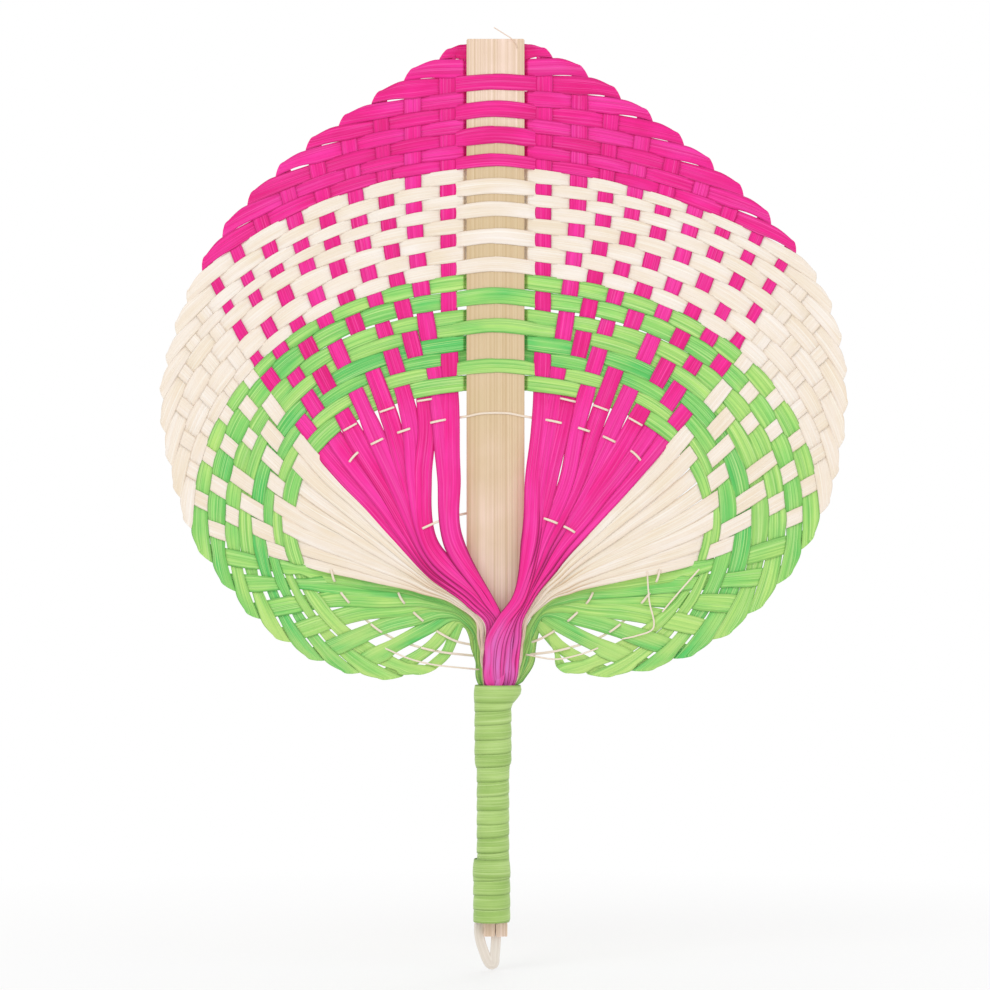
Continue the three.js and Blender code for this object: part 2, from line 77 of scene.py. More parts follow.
# Sizes that several parts share
SLAT_WIDTH = 23.0
SLAT_THICKNESS = 2.4
GRIP_TOP = 47.0
GRIP_BOTTOM = -47.0
CLEARANCE = 0.3

Colour = tuple[float, float, float]
Point = tuple[float, float]
Knot = tuple[float, float, float]
Socket = bpy.types.NodeSocket


class Side(Enum):
    """The two halves of the blade, as the sign of X."""

    LEFT = -1
    RIGHT = 1


class Face(Enum):
    """The two faces of the blade, as the sign of Y."""

    FRONT = -1
    BACK = 1


def dye(red: int, green: int, blue: int) -> Colour:
    """Turn a colour as seen on a screen into the linear colour that shaders take.

    Args:
        red: Red from 0 to 255.
        green: Green from 0 to 255.
        blue: Blue from 0 to 255.

    Returns:
        The linear colour.
    """
    shares = [value / 255 for value in (red, green, blue)]
    return tuple(s / 12.92 if s <= 0.04045 else ((s + 0.055) / 1.055) ** 2.4 for s in shares)


def unit(vectors: np.ndarray) -> np.ndarray:
    """Scale vectors to length one.

    Args:
        vectors: Vectors in the last axis.

    Returns:
        Unit vectors.
    """
    return vectors / np.linalg.norm(vectors, axis=-1, keepdims=True)


def cross(a: np.ndarray, b: np.ndarray) -> np.ndarray:
    """Give the signed area between plane vectors.

    Args:
        a: First vectors.
        b: Second vectors.

    Returns:
        The signed areas.
    """
    return a[..., 0] * b[..., 1] - a[..., 1] * b[..., 0]


def ease(share: np.ndarray | float) -> np.ndarray | float:
    """Smooth a share so that it starts and ends level.

    Args:
        share: Share from 0 to 1, held to that range.

    Returns:
        The eased share.
    """
    held = np.clip(share, 0.0, 1.0)
    return held * held * (3.0 - 2.0 * held)


def blend(start: float, end: float, share: np.ndarray | float) -> np.ndarray | float:
    """Mix two values.

    Args:
        start: Value at share 0.
        end: Value at share 1.
        share: How far from start to end.

    Returns:
        The mixed value.
    """
    return start + (end - start) * share


def bend(
    start: np.ndarray, end: np.ndarray, leave: np.ndarray, reach: np.ndarray, share: np.ndarray | float,
) -> np.ndarray:
    """Find points on the smooth curve between two points.

    Args:
        start: Point at share 0.
        end: Point at share 1.
        leave: Slope at the start.
        reach: Slope at the end.
        share: How far from start to end.

    Returns:
        Points on the curve.
    """
    square = -3 * start + 3 * end - 2 * leave - reach
    cube = 2 * start - 2 * end + leave + reach
    return start + share * (leave + share * (square + share * cube))


def run_lengths(points: np.ndarray) -> np.ndarray:
    """Measure how far along a run of points each of them lies.

    Args:
        points: Points in order.

    Returns:
        Distances from the first point.
    """
    steps = np.linalg.norm(np.diff(points, axis=0), axis=1)
    return np.concatenate(([0.0], np.cumsum(steps)))


def in_space(plane: np.ndarray, depth: np.ndarray | float, side: int = 1) -> np.ndarray:
    """Turn points of the half plane into points in space.

    Args:
        plane: Points as distance outward and height.
        depth: Depths behind the blade's middle plane.
        side: Sign of X.

    Returns:
        Points as X, Y and Z.
    """
    return np.stack((side * plane[..., 0], np.broadcast_to(depth, plane.shape[:-1]), plane[..., 1]), axis=-1)


class Course:
    """A path in the half plane, kept as a run of short straight pieces."""

    def __init__(self, points: np.ndarray) -> None:
        """Measure the path.

        Args:
            points: Points along the path.
        """
        self.points = np.asarray(points, dtype=float)
        self.marks = run_lengths(self.points)

    @classmethod
    def through(cls, knots: Sequence[Point], steps: int) -> Course:
        """Lay a smooth path through knots, tightening where they are close.

        Args:
            knots: Points that the path passes.
            steps: Straight pieces in the path.

        Returns:
            The path.
        """
        ends = np.asarray(knots, dtype=float)
        first = 2 * ends[0] - ends[1]
        last = 2 * ends[-1] - ends[-2]
        spaced = np.vstack((first, ends, last))
        spans = np.sqrt(np.linalg.norm(np.diff(spaced, axis=0), axis=1))
        share = np.linspace(0, len(ends) - 1, steps + 1)
        index = np.minimum(share.astype(int), len(ends) - 2)
        p0, p1, p2, p3 = (spaced[index + k] for k in range(4))
        d0, d1, d2 = (spans[index + k][:, None] for k in range(3))
        leave = d1 * ((p1 - p0) / d0 - (p2 - p0) / (d0 + d1) + (p2 - p1) / d1)
        reach = d1 * ((p2 - p1) / d1 - (p3 - p1) / (d1 + d2) + (p3 - p2) / d2)
        return cls(bend(p1, p2, leave, reach, (share - index)[:, None]))

    @property
    def length(self) -> float:
        """Length of the whole path."""
        return float(self.marks[-1])

    def place(self, marks: np.ndarray | float) -> np.ndarray:
        """Find points at distances along the path.

        Args:
            marks: Distances from the start.

        Returns:
            Points at those distances.
        """
        parts = [np.interp(marks, self.marks, self.points[:, axis]) for axis in range(2)]
        return np.stack(parts, axis=-1)

    def heading(self, marks: np.ndarray | float) -> np.ndarray:
        """Find the path's direction at distances along it.

        Args:
            marks: Distances from the start.

        Returns:
            Unit vectors along the path.
        """
        reach = 0.4
        after = np.minimum(np.asarray(marks) + reach, self.length)
        before = np.maximum(np.asarray(marks) - reach, 0.0)
        return unit(self.place(after) - self.place(before))

    def crossing(self, other: Course) -> tuple[float, float] | None:
        """Find where this path crosses another.

        Args:
            other: The other path.

        Returns:
            Distances along this path and along the other, or None where they don't meet.
        """
        a = self.points[:-1, None]
        d = np.diff(self.points, axis=0)[:, None]
        b = other.points[None, :-1]
        e = np.diff(other.points, axis=0)[None]
        least = 1e-12
        across = cross(d, e)
        across = np.where(np.abs(across) < least, least, across)
        mine = cross(b - a, e) / across
        theirs = cross(b - a, d) / across
        hits = np.argwhere((mine >= 0) & (mine < 1) & (theirs >= 0) & (theirs < 1))
        if not len(hits):
            return None
        i, j = hits[0]
        my_step = self.marks[i + 1] - self.marks[i]
        their_step = other.marks[j + 1] - other.marks[j]
        return self.marks[i] + mine[i, j] * my_step, other.marks[j] + theirs[i, j] * their_step

    def distance(self, places: np.ndarray) -> np.ndarray:
        """Find how far points lie from this path.

        Args:
            places: Points in the half plane.

        Returns:
            Shortest distances.
        """
        gaps = np.asarray(places)[:, None] - self.points[None]
        return np.linalg.norm(gaps, axis=-1).min(axis=1)

    def nearest(self, place: np.ndarray) -> float:
        """Find the distance along the path that is closest to a point.

        Args:
            place: Point in the half plane.

        Returns:
            Distance from the start.
        """
        return float(self.marks[np.linalg.norm(self.points - place, axis=1).argmin()])


@dataclass
class Loft:
    """Closed rings of points joined into one skin, with values that its finish reads.

    Attributes:
        rings: Rings of points in millimetres.
        along: Distance of each ring along the piece.
        across: Place of each point of a ring across the piece, from -1 to 1.
        tone: Shade of the dye, from 0 to 1.
        pleat: How dark the painted shade in the grooves along the edges is.
        stain: How far the colour of the stain has crept in.
        lot: Number that sets its fibres apart from those of other pieces.
    """

    rings: np.ndarray
    along: np.ndarray
    across: np.ndarray
    tone: np.ndarray | float
    pleat: np.ndarray | float = 0.0
    stain: np.ndarray | float = 0.0
    lot: float = 0.0

    def faces(self) -> list[list[int]]:
        """Join the rings and close both ends.

        Returns:
            Corner numbers of each face, facing outward.
        """
        count, sides, _ = self.rings.shape
        index = np.arange(count * sides).reshape(count, sides)
        turned = np.roll(index, -1, axis=1)
        quads = np.stack((index[:-1], turned[:-1], turned[1:], index[1:]), axis=-1).reshape(-1, 4)
        faces = [*quads.tolist(), index[0][::-1].tolist(), index[-1].tolist()]
        return [face[::-1] for face in faces] if self.turned_inside_out() else faces

    def turned_inside_out(self) -> bool:
        """Tell whether the rings run so that faces would point inward."""
        a, d = self.rings[:-1], self.rings[1:]
        b, c = np.roll(a, -1, axis=1), np.roll(d, -1, axis=1)
        volume = np.einsum("ijk,ijk->", a, np.cross(b, c)) + np.einsum("ijk,ijk->", a, np.cross(c, d))
        return bool(volume < 0)

    def values(self) -> dict[str, np.ndarray]:
        """Spread the values that the finish reads over every point.

        Returns:
            One number for each point, by name.
        """
        count, sides, _ = self.rings.shape
        by_ring = ("along", "tone", "pleat", "stain", "lot")
        spread = {key: np.repeat(np.broadcast_to(getattr(self, key), count), sides) for key in by_ring}
        spread["across"] = np.tile(self.across, count)
        return spread


def mark(mesh: bpy.types.Mesh, values: dict[str, np.ndarray]) -> None:
    """Store values on the points of a mesh for its finish to read.

    Args:
        mesh: The mesh.
        values: One number for each point, by name.
    """
    for key, numbers in values.items():
        mesh.attributes.new(key, "FLOAT", "POINT").data.foreach_set("value", numbers.astype(np.float32))


def bring_in(name: str, data: bpy.types.Mesh | bpy.types.Light | bpy.types.Camera) -> bpy.types.Object:
    """Bring a mesh, a lamp or a camera into the scene.

    Args:
        name: Name of the object.
        data: What the object is made of.

    Returns:
        The object.
    """
    thing = bpy.data.objects.new(name, data)
    bpy.context.scene.collection.objects.link(thing)
    return thing


def loft_piece(name: str, *lofts: Loft) -> bpy.types.Object:
    """Make one piece in metres out of one or more skins.

    Args:
        name: Name of the piece.
        *lofts: Its skins.

    Returns:
        The piece, in the scene.
    """
    points, faces = [], []
    for loft in lofts:
        start = sum(len(part) for part in points)
        faces += [[corner + start for corner in face] for face in loft.faces()]
        points.append(loft.rings.reshape(-1, 3) * MM)
    mesh = bpy.data.meshes.new(name)
    mesh.from_pydata(np.concatenate(points).tolist(), [], faces)
    carried = [loft.values() for loft in lofts]
    mark(mesh, {key: np.concatenate([values[key] for values in carried]) for key in carried[0]})
    mesh.shade_smooth()
    mesh.update()
    return bring_in(name, mesh)


def mount(piece: bpy.types.Object, node: str | None, finish: Finish) -> None:
    """Set a piece in place of its solid, with its finish.

    Args:
        piece: The piece.
        node: Solid that the piece stands for, or None where it has no solid.
        finish: Finish that covers the piece.
    """
    piece.data.materials.append(finish.material())
    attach(piece, BODY)
    if node:
        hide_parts(node)
    LOG.info("%s: %d faces, finish %s", piece.name, len(piece.data.polygons), finish.name)


# Shader building


class Graph:
    """A node tree under construction."""

    def __init__(self, tree: bpy.types.NodeTree) -> None:
        """Take the tree to build in.

        Args:
            tree: Node tree of a group, material or world.
        """
        self.tree = tree

    @classmethod
    def of(cls, owner: bpy.types.Material | bpy.types.World) -> Graph:
        """Start with the emptied node tree of a material or world.

        Args:
            owner: The material or world.

        Returns:
            Its graph.
        """
        owner.use_nodes = True
        owner.node_tree.nodes.clear()
        return cls(owner.node_tree)

    def add(
        self, kind: str, settings: dict | None = None, **inputs: Socket | float | Sequence,
    ) -> bpy.types.Node:
        """Add a node and set or link its inputs.

        Args:
            kind: Node type without its common prefix.
            settings: Properties of the node.
            **inputs: Values or sockets, by input name with spaces as underscores, or as slot and a number.

        Returns:
            The node.
        """
        node = self.tree.nodes.new(f"ShaderNode{kind}")
        for key, value in (settings or {}).items():
            setattr(node, key, value)
        for key, value in inputs.items():
            name = int(key.removeprefix("slot")) if key.startswith("slot") else key.replace("_", " ")
            self.feed(node.inputs[name], value)
        return node

    def feed(self, target: Socket, value: Socket | float | Sequence) -> None:
        """Link a socket to an input, or set the input's own value.

        Args:
            target: Input socket.
            value: Output socket, number or colour.
        """
        if isinstance(value, bpy.types.NodeSocket):
            self.tree.links.new(value, target)
        elif isinstance(value, (tuple, list)) and len(value) == 3 and target.type == "RGBA":
            target.default_value = (*value, 1.0)
        else:
            target.default_value = value

    def math(self, operation: str, first: Socket | float, second: Socket | float = 0.0) -> Socket:
        """Work out a value from two others.

        Args:
            operation: Name of the operation.
            first: First value.
            second: Second value.

        Returns:
            The result.
        """
        return self.add("Math", {"operation": operation}, slot0=first, slot1=second).outputs[0]

    def mix(self, share: Socket | float, first: Socket | Colour, second: Socket | Colour) -> Socket:
        """Mix two colours.

        Args:
            share: Share of the second colour.
            first: First colour.
            second: Second colour.

        Returns:
            The mixed colour.
        """
        return self.add("Mix", {"data_type": "RGBA"}, slot0=share, slot6=first, slot7=second).outputs[2]

    def spread(self, value: Socket, low: float, high: float, start: float = 0.0, end: float = 1.0) -> Socket:
        """Stretch a value from one range to another, held to the second.

        Args:
            value: The value.
            low: Value that gives start.
            high: Value that gives end.
            start: Result at low.
            end: Result at high.

        Returns:
            The stretched value.
        """
        ranges = {"slot1": low, "slot2": high, "slot3": start, "slot4": end}
        return self.add("MapRange", {"clamp": True}, slot0=value, **ranges).outputs[0]

    def read(self, name: str) -> Socket:
        """Read a value that the mesh carries.

        Args:
            name: Name of the value.

        Returns:
            The value.
        """
        return self.add("Attribute", {"attribute_name": name}).outputs["Fac"]

    def group(self, tree: bpy.types.NodeTree, **inputs: Socket | float) -> bpy.types.Node:
        """Place a node group.

        Args:
            tree: The group.
            **inputs: Input values or sockets by name.

        Returns:
            The group's node.
        """
        return self.add("Group", {"node_tree": tree}, **inputs)


class Effect:
    """Surface effects shared by several finishes, each built once as a shader node group."""

    fibre_lot_step: float = 3.7
    fine_lanes: float = 2.7
    streak_span: Point = (0.36, 0.66)
    fibre_span: Point = (0.3, 0.7)
    drift_lot_step: float = 2.9
    drift_run: float = 0.045
    drift_lanes: float = 0.5
    drift_span: Point = (0.3, 0.7)

    @staticmethod
    def start(name: str, inputs: Iterable[str], outputs: Iterable[str]) -> tuple[Graph, dict, dict]:
        """Begin a group with named number sockets.

        Args:
            name: Name of the group.
            inputs: Names of its inputs.
            outputs: Names of its outputs.

        Returns:
            The graph, its input sockets and its output sockets, by name.
        """
        tree = bpy.data.node_groups.new(name, "ShaderNodeTree")
        for direction, names in (("INPUT", inputs), ("OUTPUT", outputs)):
            for socket in names:
                tree.interface.new_socket(name=socket, in_out=direction, socket_type="NodeSocketFloat")
        enter = tree.nodes.new("NodeGroupInput")
        leave = tree.nodes.new("NodeGroupOutput")
        return Graph(tree), {s.name: s for s in enter.outputs}, {s.name: s for s in leave.inputs}

    @classmethod
    @cache
    def fibre(cls) -> bpy.types.NodeTree:
        """Lengthwise streaks and fine fibres of split bamboo.

        Returns:
            The group, with Streak and Fibre from 0 to 1.
        """
        inputs = ("Along", "Across", "Lot", "Lines", "Run")
        graph, given, put = cls.start("split_bamboo_fibre", inputs, ("Streak", "Fibre"))
        layer = graph.math("MULTIPLY", given["Lot"], cls.fibre_lot_step)
        lane = graph.math("MULTIPLY", given["Across"], given["Lines"])
        run = graph.math("MULTIPLY", given["Along"], given["Run"])
        coarse = graph.add("CombineXYZ", X=lane, Y=run, Z=layer).outputs[0]
        streak = graph.add("TexNoise", Vector=coarse, Scale=1.0, Detail=1.5, Roughness=0.5).outputs[0]
        fine_lane = graph.math("MULTIPLY", lane, cls.fine_lanes)
        fine = graph.add("CombineXYZ", X=fine_lane, Y=run, Z=layer).outputs[0]
        fibre = graph.add("TexNoise", Vector=fine, Scale=1.0, Detail=1.0, Roughness=0.6).outputs[0]
        graph.feed(put["Streak"], graph.spread(streak, *cls.streak_span))
        graph.feed(put["Fibre"], graph.spread(fibre, *cls.fibre_span))
        return graph.tree

    @classmethod
    @cache
    def drift(cls) -> bpy.types.NodeTree:
        """Slow change of colour along a splint, as where dye takes unevenly.

        Returns:
            The group, with Drift from 0 to 1.
        """
        graph, given, put = cls.start("dye_drift", ("Along", "Across", "Lot"), ("Drift",))
        run = graph.math("MULTIPLY", given["Along"], cls.drift_run)
        lane = graph.math("MULTIPLY", given["Across"], cls.drift_lanes)
        layer = graph.math("MULTIPLY", given["Lot"], cls.drift_lot_step)
        place = graph.add("CombineXYZ", X=lane, Y=run, Z=layer).outputs[0]
        cloud = graph.add("TexNoise", Vector=place, Scale=1.0, Detail=2.0, Roughness=0.5).outputs[0]
        graph.feed(put["Drift"], graph.spread(cloud, *cls.drift_span))
        return graph.tree

    @classmethod
    @cache
    def edge(cls) -> bpy.types.NodeTree:
        """Margin of a splint, rising towards both of its edges, which places the painted shade along the
        edges and in the creases.

        Returns:
            The group, with Margin from 0 to 1.
        """
        graph, given, put = cls.start("splint_margin", ("Across", "Start", "End"), ("Margin",))
        out = graph.math("ABSOLUTE", given["Across"])
        graph.feed(put["Margin"], graph.spread(out, given["Start"], given["End"]))
        return graph.tree


@dataclass(frozen=True)
class Finish:
    """A split bamboo surface: dyed or plain, streaked along its fibres, with painted highlights on them and
    painted shade along its edges and creases.

    Attributes:
        name: Name of the finish.
        dyes: Colours of a dark, a middling and a light shade.
        streak: Colour of the streaks.
        edge: Colour of the darker edges: partly the cut edges' own colour, partly painted shade where strips
            and turns lap over each other.
        lines: How many streaks lie side by side.
        drift_amount: How far the shade drifts along the piece.
        roughness: Roughness between the fibres and on them.
        relief: How strongly the fibres stand out.
        glint: Colour of the palest fibres, lightened further as painted highlights along them.
        pleat: Colour of the painted shade in the grooves where a strip is pressed narrow.
        stain: Colour that has crept in near the handle.
        run: How quickly the streaks change along the piece.
    """

    name: str
    dyes: tuple[Colour, Colour, Colour]
    streak: Colour
    streak_amount: float
    edge: Colour
    dark_edge_and_shade_amount: float
    lines: float
    drift_amount: float
    roughness: tuple[float, float]
    relief: float
    glint: Colour
    glint_amount: float
    pleat: Colour = (0.0, 0.0, 0.0)
    stain: Colour = (0.0, 0.0, 0.0)
    sheen: float = 0.15
    sheen_roughness: float = 0.4
    specular: float = 0.35
    run: float = 0.02
    bump_depth: float = 0.2
    dark_edge_and_shade_span: Point = (0.72, 1.0)
    crease_shade_span: Point = (0.64, 0.96)

    @cache
    def material(self) -> bpy.types.Material:
        """Make the material of this finish, once for all its pieces.

        Returns:
            The material.
        """
        material = bpy.data.materials.new(self.name)
        graph = Graph.of(material)
        along, across, tone, lot = (graph.read(key) for key in ("along", "across", "tone", "lot"))
        fibre = graph.group(
            Effect.fibre(), Along=along, Across=across, Lot=lot, Lines=self.lines, Run=self.run,
        )
        drift = graph.group(Effect.drift(), Along=along, Across=across, Lot=lot)
        height = graph.math("ADD", fibre.outputs["Streak"], fibre.outputs["Fibre"])
        bump = graph.add("Bump", Strength=self.relief, Distance=self.bump_depth * MM, Height=height)
        shader = graph.add(
            "BsdfPrincipled",
            Base_Color=self.colour(graph, tone, across, fibre, drift),
            Roughness=graph.spread(fibre.outputs["Fibre"], 0.0, 1.0, *self.roughness),
            Normal=bump.outputs["Normal"],
            Specular_IOR_Level=self.specular,
            Sheen_Weight=self.sheen,
            Sheen_Roughness=self.sheen_roughness,
        )
        graph.add("OutputMaterial", Surface=shader.outputs["BSDF"])
        return material

    def colour(
        self, graph: Graph, tone: Socket, across: Socket, fibre: bpy.types.Node, drift: bpy.types.Node,
    ) -> Socket:
        """Lay the dye, its streaks, the painted highlights on the fibres, the darker edges with their
        painted shade, stains and the painted shade in the creases over each other.

        Args:
            graph: Graph of the material.
            tone: The splint's own shade, from 0 to 1.
            across: Place across the splint, from -1 to 1.
            fibre: Placed fibre effect.
            drift: Placed drift effect.

        Returns:
            The surface colour.
        """
        # Masks along the edges: one for the darker edges, one for the painted shade in the creases
        edges, crease_shade_mask = (
            graph.group(Effect.edge(), Across=across, Start=start, End=end).outputs["Margin"]
            for start, end in (self.dark_edge_and_shade_span, self.crease_shade_span)
        )
        wander = graph.math("SUBTRACT", drift.outputs["Drift"], 0.5)
        shade = graph.math("ADD", tone, graph.math("MULTIPLY", wander, self.drift_amount))
        ramp = graph.add("ValToRGB", Fac=shade)
        stops = ramp.color_ramp.elements
        stops[1].position = 0.5
        stops.new(1.0)
        for stop, dyed in zip(stops, self.dyes):
            stop.color = (*dyed, 1.0)
        share = graph.math("MULTIPLY", fibre.outputs["Streak"], self.streak_amount)
        dulled = graph.mix(share, ramp.outputs[0], self.streak)
        # Painted highlights along the palest fibres
        light = graph.math("MULTIPLY", graph.spread(fibre.outputs["Fibre"], 0.5, 1.0), self.glint_amount)
        streaked = graph.mix(light, dulled, self.glint)
        # Darker edges: the splint's own cut edges, and painted shade where neighbouring strips and turns lap
        dark_edged_and_shaded = graph.mix(graph.math("MULTIPLY", edges, self.dark_edge_and_shade_amount), streaked, self.edge)
        patchy = graph.math("MULTIPLY", graph.read("stain"), drift.outputs["Drift"])
        stained = graph.mix(patchy, dark_edged_and_shaded, self.stain)
        # Painted shade in the creases between gathered strands, darkest along their edges
        return graph.mix(graph.math("MULTIPLY", crease_shade_mask, graph.read("pleat")), stained, self.pleat)


PINK = Finish(
    name="pink_dyed_splint",
    dyes=(dye(234, 20, 128), dye(248, 30, 148), dye(253, 54, 170)),
    streak=dye(206, 16, 108),
    streak_amount=0.5,
    edge=dye(190, 14, 100),
    dark_edge_and_shade_amount=0.45,
    lines=4.4,
    drift_amount=0.8,
    roughness=(0.45, 0.65),
    relief=0.4,
    glint=dye(255, 104, 190),
    glint_amount=0.5,
    sheen=0.05,
    specular=0.25,
    pleat=dye(150, 8, 78),
    stain=dye(226, 122, 204),
)
NATURAL = Finish(
    name="plain_splint",
    dyes=(dye(241, 225, 202), dye(246, 233, 219), dye(250, 241, 233)),
    streak=dye(238, 218, 190),
    streak_amount=0.4,
    edge=dye(238, 212, 188),
    dark_edge_and_shade_amount=0.2,
    lines=4.0,
    drift_amount=0.9,
    roughness=(0.45, 0.65),
    relief=0.35,
    glint=dye(255, 251, 242),
    glint_amount=0.6,
    pleat=dye(214, 180, 140),
    stain=dye(250, 214, 200),
)
GREEN = Finish(
    name="green_dyed_splint",
    dyes=(dye(92, 204, 104), dye(148, 220, 112), dye(188, 232, 124)),
    streak=dye(80, 178, 72),
    streak_amount=0.6,
    edge=dye(66, 154, 58),
    dark_edge_and_shade_amount=0.4,
    lines=4.4,
    drift_amount=0.7,
    roughness=(0.42, 0.62),
    relief=0.4,
    glint=dye(216, 244, 164),
    glint_amount=0.6,
    pleat=dye(92, 148, 58),
    stain=dye(192, 226, 128),
)
WRAP = Finish(
    name="green_winding_splint",
    dyes=(dye(156, 192, 100), dye(174, 207, 118), dye(194, 224, 140)),
    streak=dye(138, 178, 84),
    streak_amount=0.45,
    edge=dye(118, 152, 68),
    dark_edge_and_shade_amount=0.6,
    lines=3.6,
    drift_amount=0.9,
    roughness=(0.4, 0.6),
    relief=0.35,
    glint=dye(214, 236, 166),
    glint_amount=0.55,
)
SLAT = Finish(
    name="shaved_bamboo_slat",
    dyes=(dye(216, 194, 150), dye(226, 200, 166), dye(254, 227, 214)),
    streak=dye(198, 166, 120),
    streak_amount=0.55,
    edge=dye(206, 174, 134),
    dark_edge_and_shade_amount=0.35,
    lines=12.0,
    drift_amount=0.3,
    roughness=(0.48, 0.66),
    relief=0.35,
    glint=dye(243, 221, 189),
    glint_amount=0.5,
    run=0.004,
)
CANE = Finish(
    name="split_cane",
    dyes=(dye(240, 222, 196), dye(247, 232, 214), dye(251, 240, 226)),
    streak=dye(226, 200, 168),
    streak_amount=0.4,
    edge=dye(222, 196, 166),
    dark_edge_and_shade_amount=0.4,
    lines=2.0,
    drift_amount=0.7,
    roughness=(0.42, 0.6),
    relief=0.3,
    glint=dye(255, 248, 238),
    glint_amount=0.4,
)
LOOP = replace(
    CANE,
    name="bleached_cane",
    dyes=(dye(228, 217, 204), dye(236, 227, 216), dye(243, 236, 227)),
    streak=dye(214, 200, 184),
    edge=dye(208, 194, 178),
)


# Blade


@dataclass(frozen=True)
class Band:
    """A run of neighbouring strips of one colour.

    Attributes:
        name: Colour in the names of the strips.
        width: Width of a strip.
        rows: Heights at which the rows pass the slat.
        finish: Finish of the strips.
        tones: Shade of each strip.
        slat_shares: Share of its width that each strip keeps on the slat, if not the whole.
        added: Place of the strip that has no solid.
        rib_tone: How much lighter the ribs are below the weave.
        right_tone: How much lighter the strips are on the right.
    """

    name: str
    width: float
    rows: tuple[float, ...]
    finish: Finish
    tones: tuple[float, ...]
    slat_shares: tuple[float, ...] = ()
    added: int | None = None
    rib_tone: float = 0.0
    right_tone: float = 0.0

    @property
    def count(self) -> int:
        """Number of strips in the band."""
        return len(self.rows)

    def slat_share(self, place: int) -> float:
        """Share of its width that a strip keeps on the slat."""
        return self.slat_shares[place] if self.slat_shares else 1.0

    def node(self, place: int) -> str | None:
        """Name of the solid that a strip stands for, or None for the added strip, which has none."""
        if place == self.added:
            return None
        number = place if self.added is not None and place > self.added else place + 1
        return f"strip_{self.name}_{number}"


BANDS = (
    Band(
        name="pink",
        width=6.3,
        rows=(298.8, 292.1, 286.5, 280.6, 275.8, 270.2, 265.5, 259.9, 255.5),
        finish=PINK,
        tones=(0.35, 0.72, 0.25, 0.66, 0.4, 0.78, 0.3, 0.62, 0.45),
        slat_shares=(*[1.0] * 8, 0.76),
        rib_tone=0.35,
    ),
    Band(
        name="natural",
        width=5.8,
        rows=(250.8, 245.2, 240.8, 236.1, 230.9, 225.3, 219.8, 214.1),
        finish=NATURAL,
        tones=(0.6, 0.45, 0.7, 0.5, 0.35, 0.62, 0.48, 0.66),
        rib_tone=-0.2,
    ),
    Band(
        name="green",
        width=7.0,
        rows=(208.3, 201.6, 194.1, 189.8, 184.0, 178.3, 173.8, 167.6),
        finish=GREEN,
        tones=(0.7, 0.4, 0.72, 0.84, 0.08, 0.36, 0.92, 0.8),
        slat_shares=(0.88, 0.86, 0.85, 0.77, 0.85, 0.8, 0.76, 0.84),
        added=5,
        right_tone=0.16,
    ),
)

# Gates of the throat: where the first and the last strip of each band pass, from the blade down
Gate = tuple[Point, Point]
THROAT_GATES: dict[Side, tuple[tuple[Gate, ...], ...]] = {
    Side.LEFT: (
        (((3.0, 82.0), (11.4, 80.0)), ((-2.4, 73.0), (3.0, 72.0)), ((-3.0, 64.8), (3.2, 64.8)),
         ((-3.0, 56.8), (4.6, 56.8)), ((-2.8, 50.0), (3.8, 50.0))),
        (((11.6, 80.0), (17.6, 80.0)), ((3.6, 72.0), (7.4, 72.5)), ((3.6, 64.8), (5.8, 65.5)),
         ((3.2, 56.8), (5.1, 56.8)), ((2.0, 50.0), (4.2, 50.0))),
        (((14.4, 77.0), (12.0, 70.0)), ((7.4, 70.0), (9.0, 66.0)), ((6.2, 64.0), (8.2, 61.5)),
         ((5.4, 57.0), (7.3, 56.0)), ((4.6, 50.0), (6.8, 49.5))),
    ),
    Side.RIGHT: (
        (((8.4, 82.0), (14.4, 81.0)), ((2.0, 73.0), (9.6, 72.5)), ((-2.0, 64.8), (8.8, 64.8)),
         ((-3.6, 56.8), (8.2, 56.8)), ((-3.8, 50.0), (7.4, 50.0))),
        (((15.4, 81.5), (20.5, 80.5)), ((10.8, 72.7), (13.2, 72.7)), ((9.4, 64.8), (11.4, 64.8)),
         ((8.2, 56.8), (9.7, 56.8)), ((6.4, 50.0), (8.0, 50.0))),
        (((18.5, 78.0), (16.0, 70.0)), ((13.6, 70.0), (14.8, 66.0)), ((11.8, 64.0), (14.2, 61.0)),
         ((9.8, 57.0), (13.6, 56.0)), ((7.4, 50.0), (9.6, 49.5))),
    ),
}


def by_side(left: object, right: object) -> dict:
    """Make a dataclass field that holds one value for each half of the blade.

    Args:
        left: Value for the left half.
        right: Value for the right half.

    Returns:
        The field.
    """
    return field(default_factory=lambda: {Side.LEFT: left, Side.RIGHT: right})


@dataclass
class HalfBlade:
    """Courses and crossings of one half of the blade.

    Attributes:
        side: Which half it is.
        folds: Point and heading of the rim at each fold.
        rows: Paths of the rows.
        ribs: Paths of the ribs.
        meets: Distances along a rib and along a row to their crossing, by the numbers of the two.
    """

    side: Side
    folds: list[tuple[np.ndarray, np.ndarray]]
    rows: list[Course]
    ribs: list[Course]
    meets: dict[tuple[int, int], tuple[float, float]]


